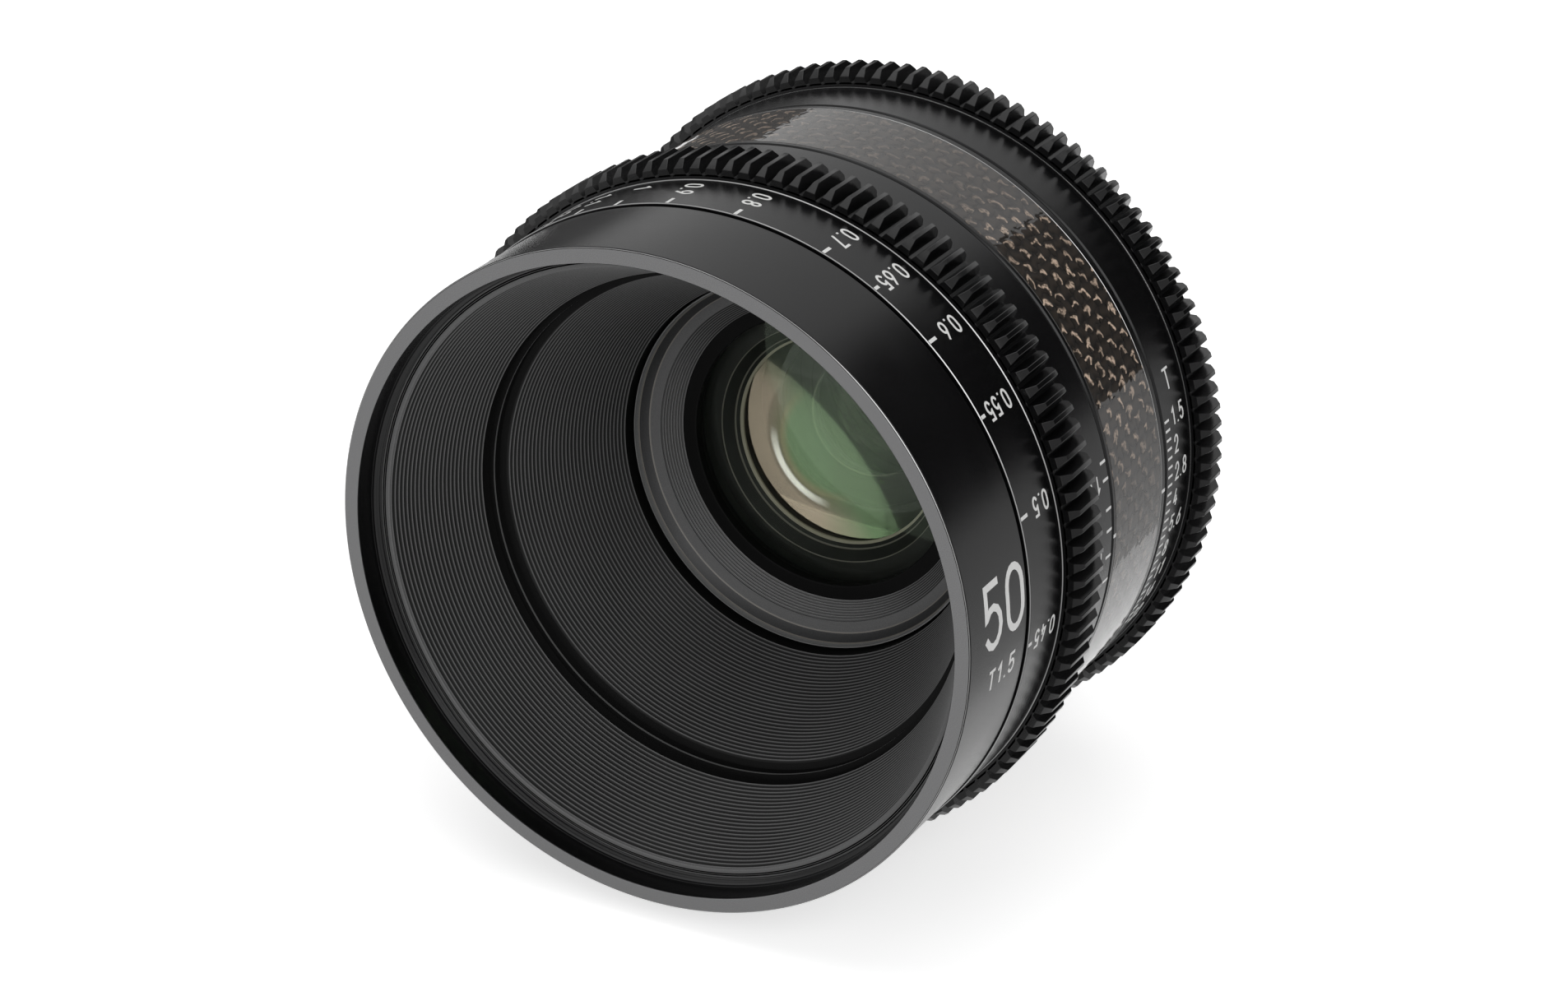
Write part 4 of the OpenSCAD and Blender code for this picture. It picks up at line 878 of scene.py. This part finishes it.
# Lines of each sign in a box of 1 by 1. The tilde stands for the sign of infinity.
STROKES = {
    "0": [bow(0.5, 0.68, 0.5, 0.32, 0, 180) + bow(0.5, 0.32, 0.5, 0.32, 180, 360) + [(1.0, 0.68)]],
    "1": [[(0.15, 0.76), (0.62, 1.0), (0.62, 0.0)]],
    "2": [bow(0.5, 0.7, 0.5, 0.3, 180, -25) + [(0.0, 0.0), (1.0, 0.0)]],
    "3": [bow(0.48, 0.75, 0.46, 0.25, 160, -90) + bow(0.48, 0.25, 0.52, 0.25, 90, -160)[1:]],
    "4": [[(0.55, 1.0), (0.0, 0.27), (1.0, 0.27)], [(0.72, 0.55), (0.72, 0.0)]],
    "5": [[(0.92, 1.0), (0.14, 1.0), (0.08, 0.52)] + bow(0.5, 0.32, 0.5, 0.32, 140, -150)],
    "6": [[(0.72, 1.0), (0.08, 0.48)] + bow(0.5, 0.31, 0.5, 0.31, 150, 510, 16)],
    "7": [[(0.0, 1.0), (1.0, 1.0), (0.35, 0.0)]],
    "8": [bow(0.5, 0.76, 0.43, 0.24, -90, 270, 16), bow(0.5, 0.26, 0.5, 0.26, 90, 450, 16)],
    "9": [[(0.28, 0.0), (0.92, 0.52)] + bow(0.5, 0.69, 0.5, 0.31, -30, 330, 16)],
    ".": [[(0.0, 0.0), (0.0, 0.03)]],
    "T": [[(0.0, 1.0), (1.0, 1.0)], [(0.5, 1.0), (0.5, 0.0)]],
    "~": [bow(0.22, 0.5, 0.28, 0.26, 0, 360, 16), bow(0.78, 0.5, 0.28, 0.26, 180, 540, 16)],
}


def stroke(shape, line, width, radius):
    """Adds a thin closed strip of paint along a line of turns in degrees and depths."""
    rough = [np.array((math.radians(turn) * radius, depth)) for turn, depth in line]
    flat = rough[:1]
    for start, end in zip(rough, rough[1:]):
        parts = max(1, math.ceil(abs(end[0] - start[0]) / 0.4))
        flat += [start + (end - start) * k / parts for k in range(1, parts + 1)]
    ahead = [b - a for a, b in zip(flat, flat[1:])]
    ahead = [step / np.linalg.norm(step) for step in ahead]
    top = radius + 0.012 + 0.0015 * (len(shape.verts) % 7)
    sections = []
    for i, point in enumerate(flat):
        before = ahead[max(i - 1, 0)]
        after = ahead[min(i, len(ahead) - 1)]
        along = (before + after) / max(np.linalg.norm(before + after), 0.2)
        reach = width / 2 / max(float(along @ after), 0.5)
        if i == 0:
            point = point - along * width * 0.3
        elif i == len(flat) - 1:
            point = point + along * width * 0.3
        side = np.array((-along[1], along[0])) * reach
        edges = [point - side, point + side]
        sections.append([spot(level, edges[k][0] / radius, edges[k][1])
                         for level, k in ((radius - 0.03, 0), (radius - 0.03, 1), (top, 1), (top, 0))])
    points, faces = block(sections)
    corners = [shape.verts.new(p) for p in points]
    for face in faces:
        shape.faces.new([corners[k] for k in face])


METRES = {"high": 2.84, "wide": 1.5, "width": 0.38, "step": 1.95, "reading": -1}
FEET = {"high": 2.6, "wide": 1.3, "width": 0.3, "step": 1.7, "reading": -1}
STOPS = {"high": 2.75, "wide": 1.35, "width": 0.33, "step": 1.8}


def letters(shape, words, radius, turn, depth, high, wide, width, step, reading=1):
    """Adds plain numbers. Reading 1 runs to the rear with its top to a higher turn, -1 the other way."""
    at = 0.0
    for sign in words:
        room = 0.0 if sign == "." else (wide - width) * (2 if sign == "~" else 1)
        for line in STROKES[sign]:
            stroke(shape, [(turn + reading * math.degrees((width / 2 + y * (high - width)) / radius),
                            depth + reading * (at + width / 2 + x * room)) for x, y in line], width, radius)
        at += step * 0.45 if sign == "." else step


def painted(name, body, shape):
    """Piece of white paint from the strokes in a shape."""
    bmesh.ops.recalc_face_normals(shape, faces=shape.faces)
    piece(name, poured(shape, name), body, None, PAINT)


def half_turn(size):
    """Turn in degrees on a band from the middle of a letter to its foot."""
    return math.degrees(size["high"] / 2 / BAND_R)


def far_turn(metres):
    """Turn on the focus ring of a distance in metres, by a curve through the marks that show."""
    return 189.55 - 78.65 / (metres - 0.0474)


def focus_marks():
    """Metre scale in front of the gear, and feet with the inch marks behind it."""
    far_end = 190.0
    shape = bmesh.new()
    for words in ("0.45", "0.5", "0.55", "0.6", "0.65", "0.7", "0.8", "0.9", "1", "1.1", "1.2", "1.3", "1.5",
                  "2", "3", "5", "10", "~"):
        turn = far_end if words == "~" else far_turn(float(words))
        stroke(shape, [(turn, 17.75), (turn, 18.5 if len(words) > 3 else 19.35)], 0.5, BAND_R)
        letters(shape, words, BAND_R, turn + half_turn(METRES), 25.75, **METRES)
    inches = (13.8, 10.8, 5.7, 1.95, -2.75, -7.2)
    for turn in inches:
        stroke(shape, [(turn, 41.9), (turn, 43.3)], 0.4, BAND_R)
    for words in ("1.5", "1.6", "4", "5", "6", "8", "10", "20"):
        turn = far_turn(float(words) * FOOT)
        if turn > 20:
            stroke(shape, [(turn, 41.9), (turn, 43.3)], 0.4, BAND_R)
        letters(shape, words, BAND_R, turn + half_turn(FEET), 40.9, **FEET)
    painted("focus_marks", "focus", shape)


def iris_marks():
    """Stop numbers and their ticks."""
    widest = 11.3
    stop = 4.92
    shape = bmesh.new()
    for number, words in enumerate(("1.5", "2", "2.8", "4", "5.6", "8", "11", "16", "22")):
        letters(shape, words, BAND_R, widest - stop * number - half_turn(STOPS), 65.4, **STOPS)
    letters(shape, "T", BAND_R, 15.9, 65.3, 3.2, 2.0, 0.36, 2.0)
    painted("stop_numbers", "iris", shape)
    tick = bmesh.new()
    stroke(tick, [(0.0, 63.05), (0.0, 64.3)], 0.36, BAND_R)
    bmesh.ops.recalc_face_normals(tick, faces=tick.faces)
    ticks = around_ring("stop_ticks", poured(tick, "stop_tick"), 25, widest, -stop / 3, PAINT)
    piece("stop_ticks", ticks, "iris", None, PAINT)


def fixed_marks():
    """Plain numbers on the front ring and the two index lines."""
    shape = bmesh.new()
    letters(shape, "50", FRONT_R, -0.8, 4.2, 9.5, 5.4, 1.02, 6.6)
    letters(shape, "T1.5", FRONT_R, -8.2, 6.2, 3.15, 1.9, 0.44, 2.45)
    stroke(shape, [(0.0, 44.35), (0.0, 44.75)], 0.5, BAND_R)
    stroke(shape, [(0.0, 60.85), (0.0, 61.6)], 0.5, BAND_R)
    painted("fixed_marks", "barrel", shape)


front_ring()
focus_ring()
iris_ring()
sleeves()
baffles()
front_optics()
rear_end()
focus_marks()
iris_marks()
fixed_marks()

# CAD nodes that keep their own shape
CARRIED = {
    "main_barrel": INNER, "focus_stop_pin": BOLT, "sleeve_screws": BOLT, "mount_shim": BRASS,
    "focus_cam": BRASS, "optics_carrier": INNER, "cam_followers": BOLT, "iris_housing": MATTE,
    "housing_screws": BOLT, "iris_cover": MATTE, "rear_cell": MATTE, "rear_cell_screws": BOLT,
    "glass_4": FAINT_COAT, "glass_5": FAINT_COAT, "glass_6": FAINT_COAT, "glass_spacer": MATTE,
    "rear_retaining_ring": MATTE, "iris_cam_ring": BRASS, "iris_link_pin": BOLT}
for number in range(1, 12):
    CARRIED[f"iris_blade_{number:02d}"] = BLADE
for node_name, node_finish in CARRIED.items():
    node_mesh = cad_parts[node_name].data
    node_mesh.materials.clear()
    node_mesh.materials.append(node_finish)


# Stage, light and camera

def shown_rays(tree):
    """1 for rays that show a background: from the camera, in a reflection and through glass."""
    rays = add(tree, "ShaderNodeLightPath").outputs
    maths = sums(tree)
    either = maths("ADD", rays["Is Camera Ray"], rays["Is Glossy Ray"], use_clamp=True)
    return maths("ADD", either, rays["Is Transmission Ray"], use_clamp=True)


def stage_piece(name, corners, material):
    """Flat piece of the stage, which isn't part of the lens."""
    mesh = bpy.data.meshes.new(name)
    mesh.from_pydata(corners, [], [tuple(range(len(corners)))])
    mesh.materials.append(material)
    obj = placed(name, mesh)
    return obj


def pale_floor():
    """White floor that keeps the shadow of the lens."""
    material = bpy.data.materials.new("pale_floor")
    material.use_nodes = True
    tree = material.node_tree
    tree.nodes.remove(tree.nodes["Principled BSDF"])
    plain = add(tree, "ShaderNodeBsdfDiffuse", {"Color": (0.8, 0.8, 0.8, 1.0)})
    lift = sums(tree)("MULTIPLY", shown_rays(tree), 0.62)
    glow = add(tree, "ShaderNodeEmission", {"Strength": lift})
    both = add(tree, "ShaderNodeAddShader", {0: plain.outputs[0], 1: glow.outputs[0]})
    tree.links.new(both.outputs[0], tree.nodes["Material Output"].inputs["Surface"])
    half = 7.0
    z = FLOOR_Z * MM
    stage_piece("floor", [(-half, -half, z), (half, -half, z), (half, half, z), (-half, half, z)], material)


def flag(name, corners, level):
    """Card beside the lens that only reflections show, as a flag does in a studio."""
    material = finish_of(name, (0.004, 0.004, 0.004), 0.9, emission_color=(1.0, 1.0, 1.0, 1.0),
                         emission_strength=level)[0]
    card = stage_piece(name, corners, material)
    card.visible_camera = False
    card.visible_diffuse = False
    card.visible_shadow = False
    card.visible_transmission = False


def studio_world():
    """Even white surround, brighter where it shows than as light on the lens."""
    world = bpy.data.worlds.new("studio")
    bpy.context.scene.world = world
    world.use_nodes = True
    tree = world.node_tree
    level = ranged(tree, shown_rays(tree), 0.3, 0.9)
    tree.links.new(level, tree.nodes["Background"].inputs["Strength"])
    tree.nodes["Background"].inputs["Color"].default_value = (1.0, 1.0, 1.0, 1.0)


def softbox(name, place, width, height, power):
    """Lamp with a flat face, aimed at the lens."""
    aim = (0, -0.05, 0)
    lamp = bpy.data.lights.new(name, "AREA")
    lamp.shape = "RECTANGLE"
    lamp.size = width
    lamp.size_y = height
    lamp.energy = power
    obj = placed(name, lamp)
    obj.location = place
    obj.rotation_euler = (Vector(aim) - Vector(place)).to_track_quat("-Z", "Y").to_euler()


def photo_camera():
    """Camera of the photograph, by its angles and its distance from the middle of the front face."""
    azimuth = math.radians(28.141)
    height = math.radians(24.502)
    distance, aside, above = 516.54, 18.319, 12.675
    level = math.cos(height)
    right = Vector((math.cos(azimuth), math.sin(azimuth), 0))
    back = Vector((math.sin(azimuth) * level, -math.cos(azimuth) * level, math.sin(height)))
    up = back.cross(right)
    camera = bpy.data.cameras.new("photo_camera")
    camera.sensor_fit = "HORIZONTAL"
    camera.sensor_width = 36.0
    camera.lens = 90.05
    camera.clip_start = 0.01
    obj = placed("photo_camera", camera)
    face = Vector((0, -LENGTH * MM, 0))
    obj.location = face + (back * distance + right * aside + up * above) * MM
    obj.rotation_euler = (-back).to_track_quat("-Z", "Y").to_euler()
    bpy.context.scene.camera = obj


pale_floor()
flag("right_flag", [(0.34, 1.12, -0.02), (1.3, 0.6, -0.02), (1.3, 0.6, 1.0), (0.34, 1.12, 1.0)], 0.0)
flag("left_flag", [
    (-0.5, 0.12, -0.0504), (-0.08, 0.46, -0.0504), (-0.08, 0.46, 0.125), (-0.5, 0.12, 0.125)], 0.07)
flag("low_card", [(0.07, -0.3, -0.05), (1.6, -0.3, -0.05), (1.6, 1.6, -0.05), (0.07, 1.6, -0.05)], 0.72)
studio_world()
softbox("top_box", (-0.1, 0.1, 1.2), 1.2, 1.2, 6.0)
softbox("front_box", (-0.3, -1.4, 0.4), 2.2, 1.0, 7.0)
softbox("right_box", (0.95, -0.85, 0.75), 0.9, 0.9, 6.5)
photo_camera()
bpy.context.scene.view_settings.view_transform = "Standard"
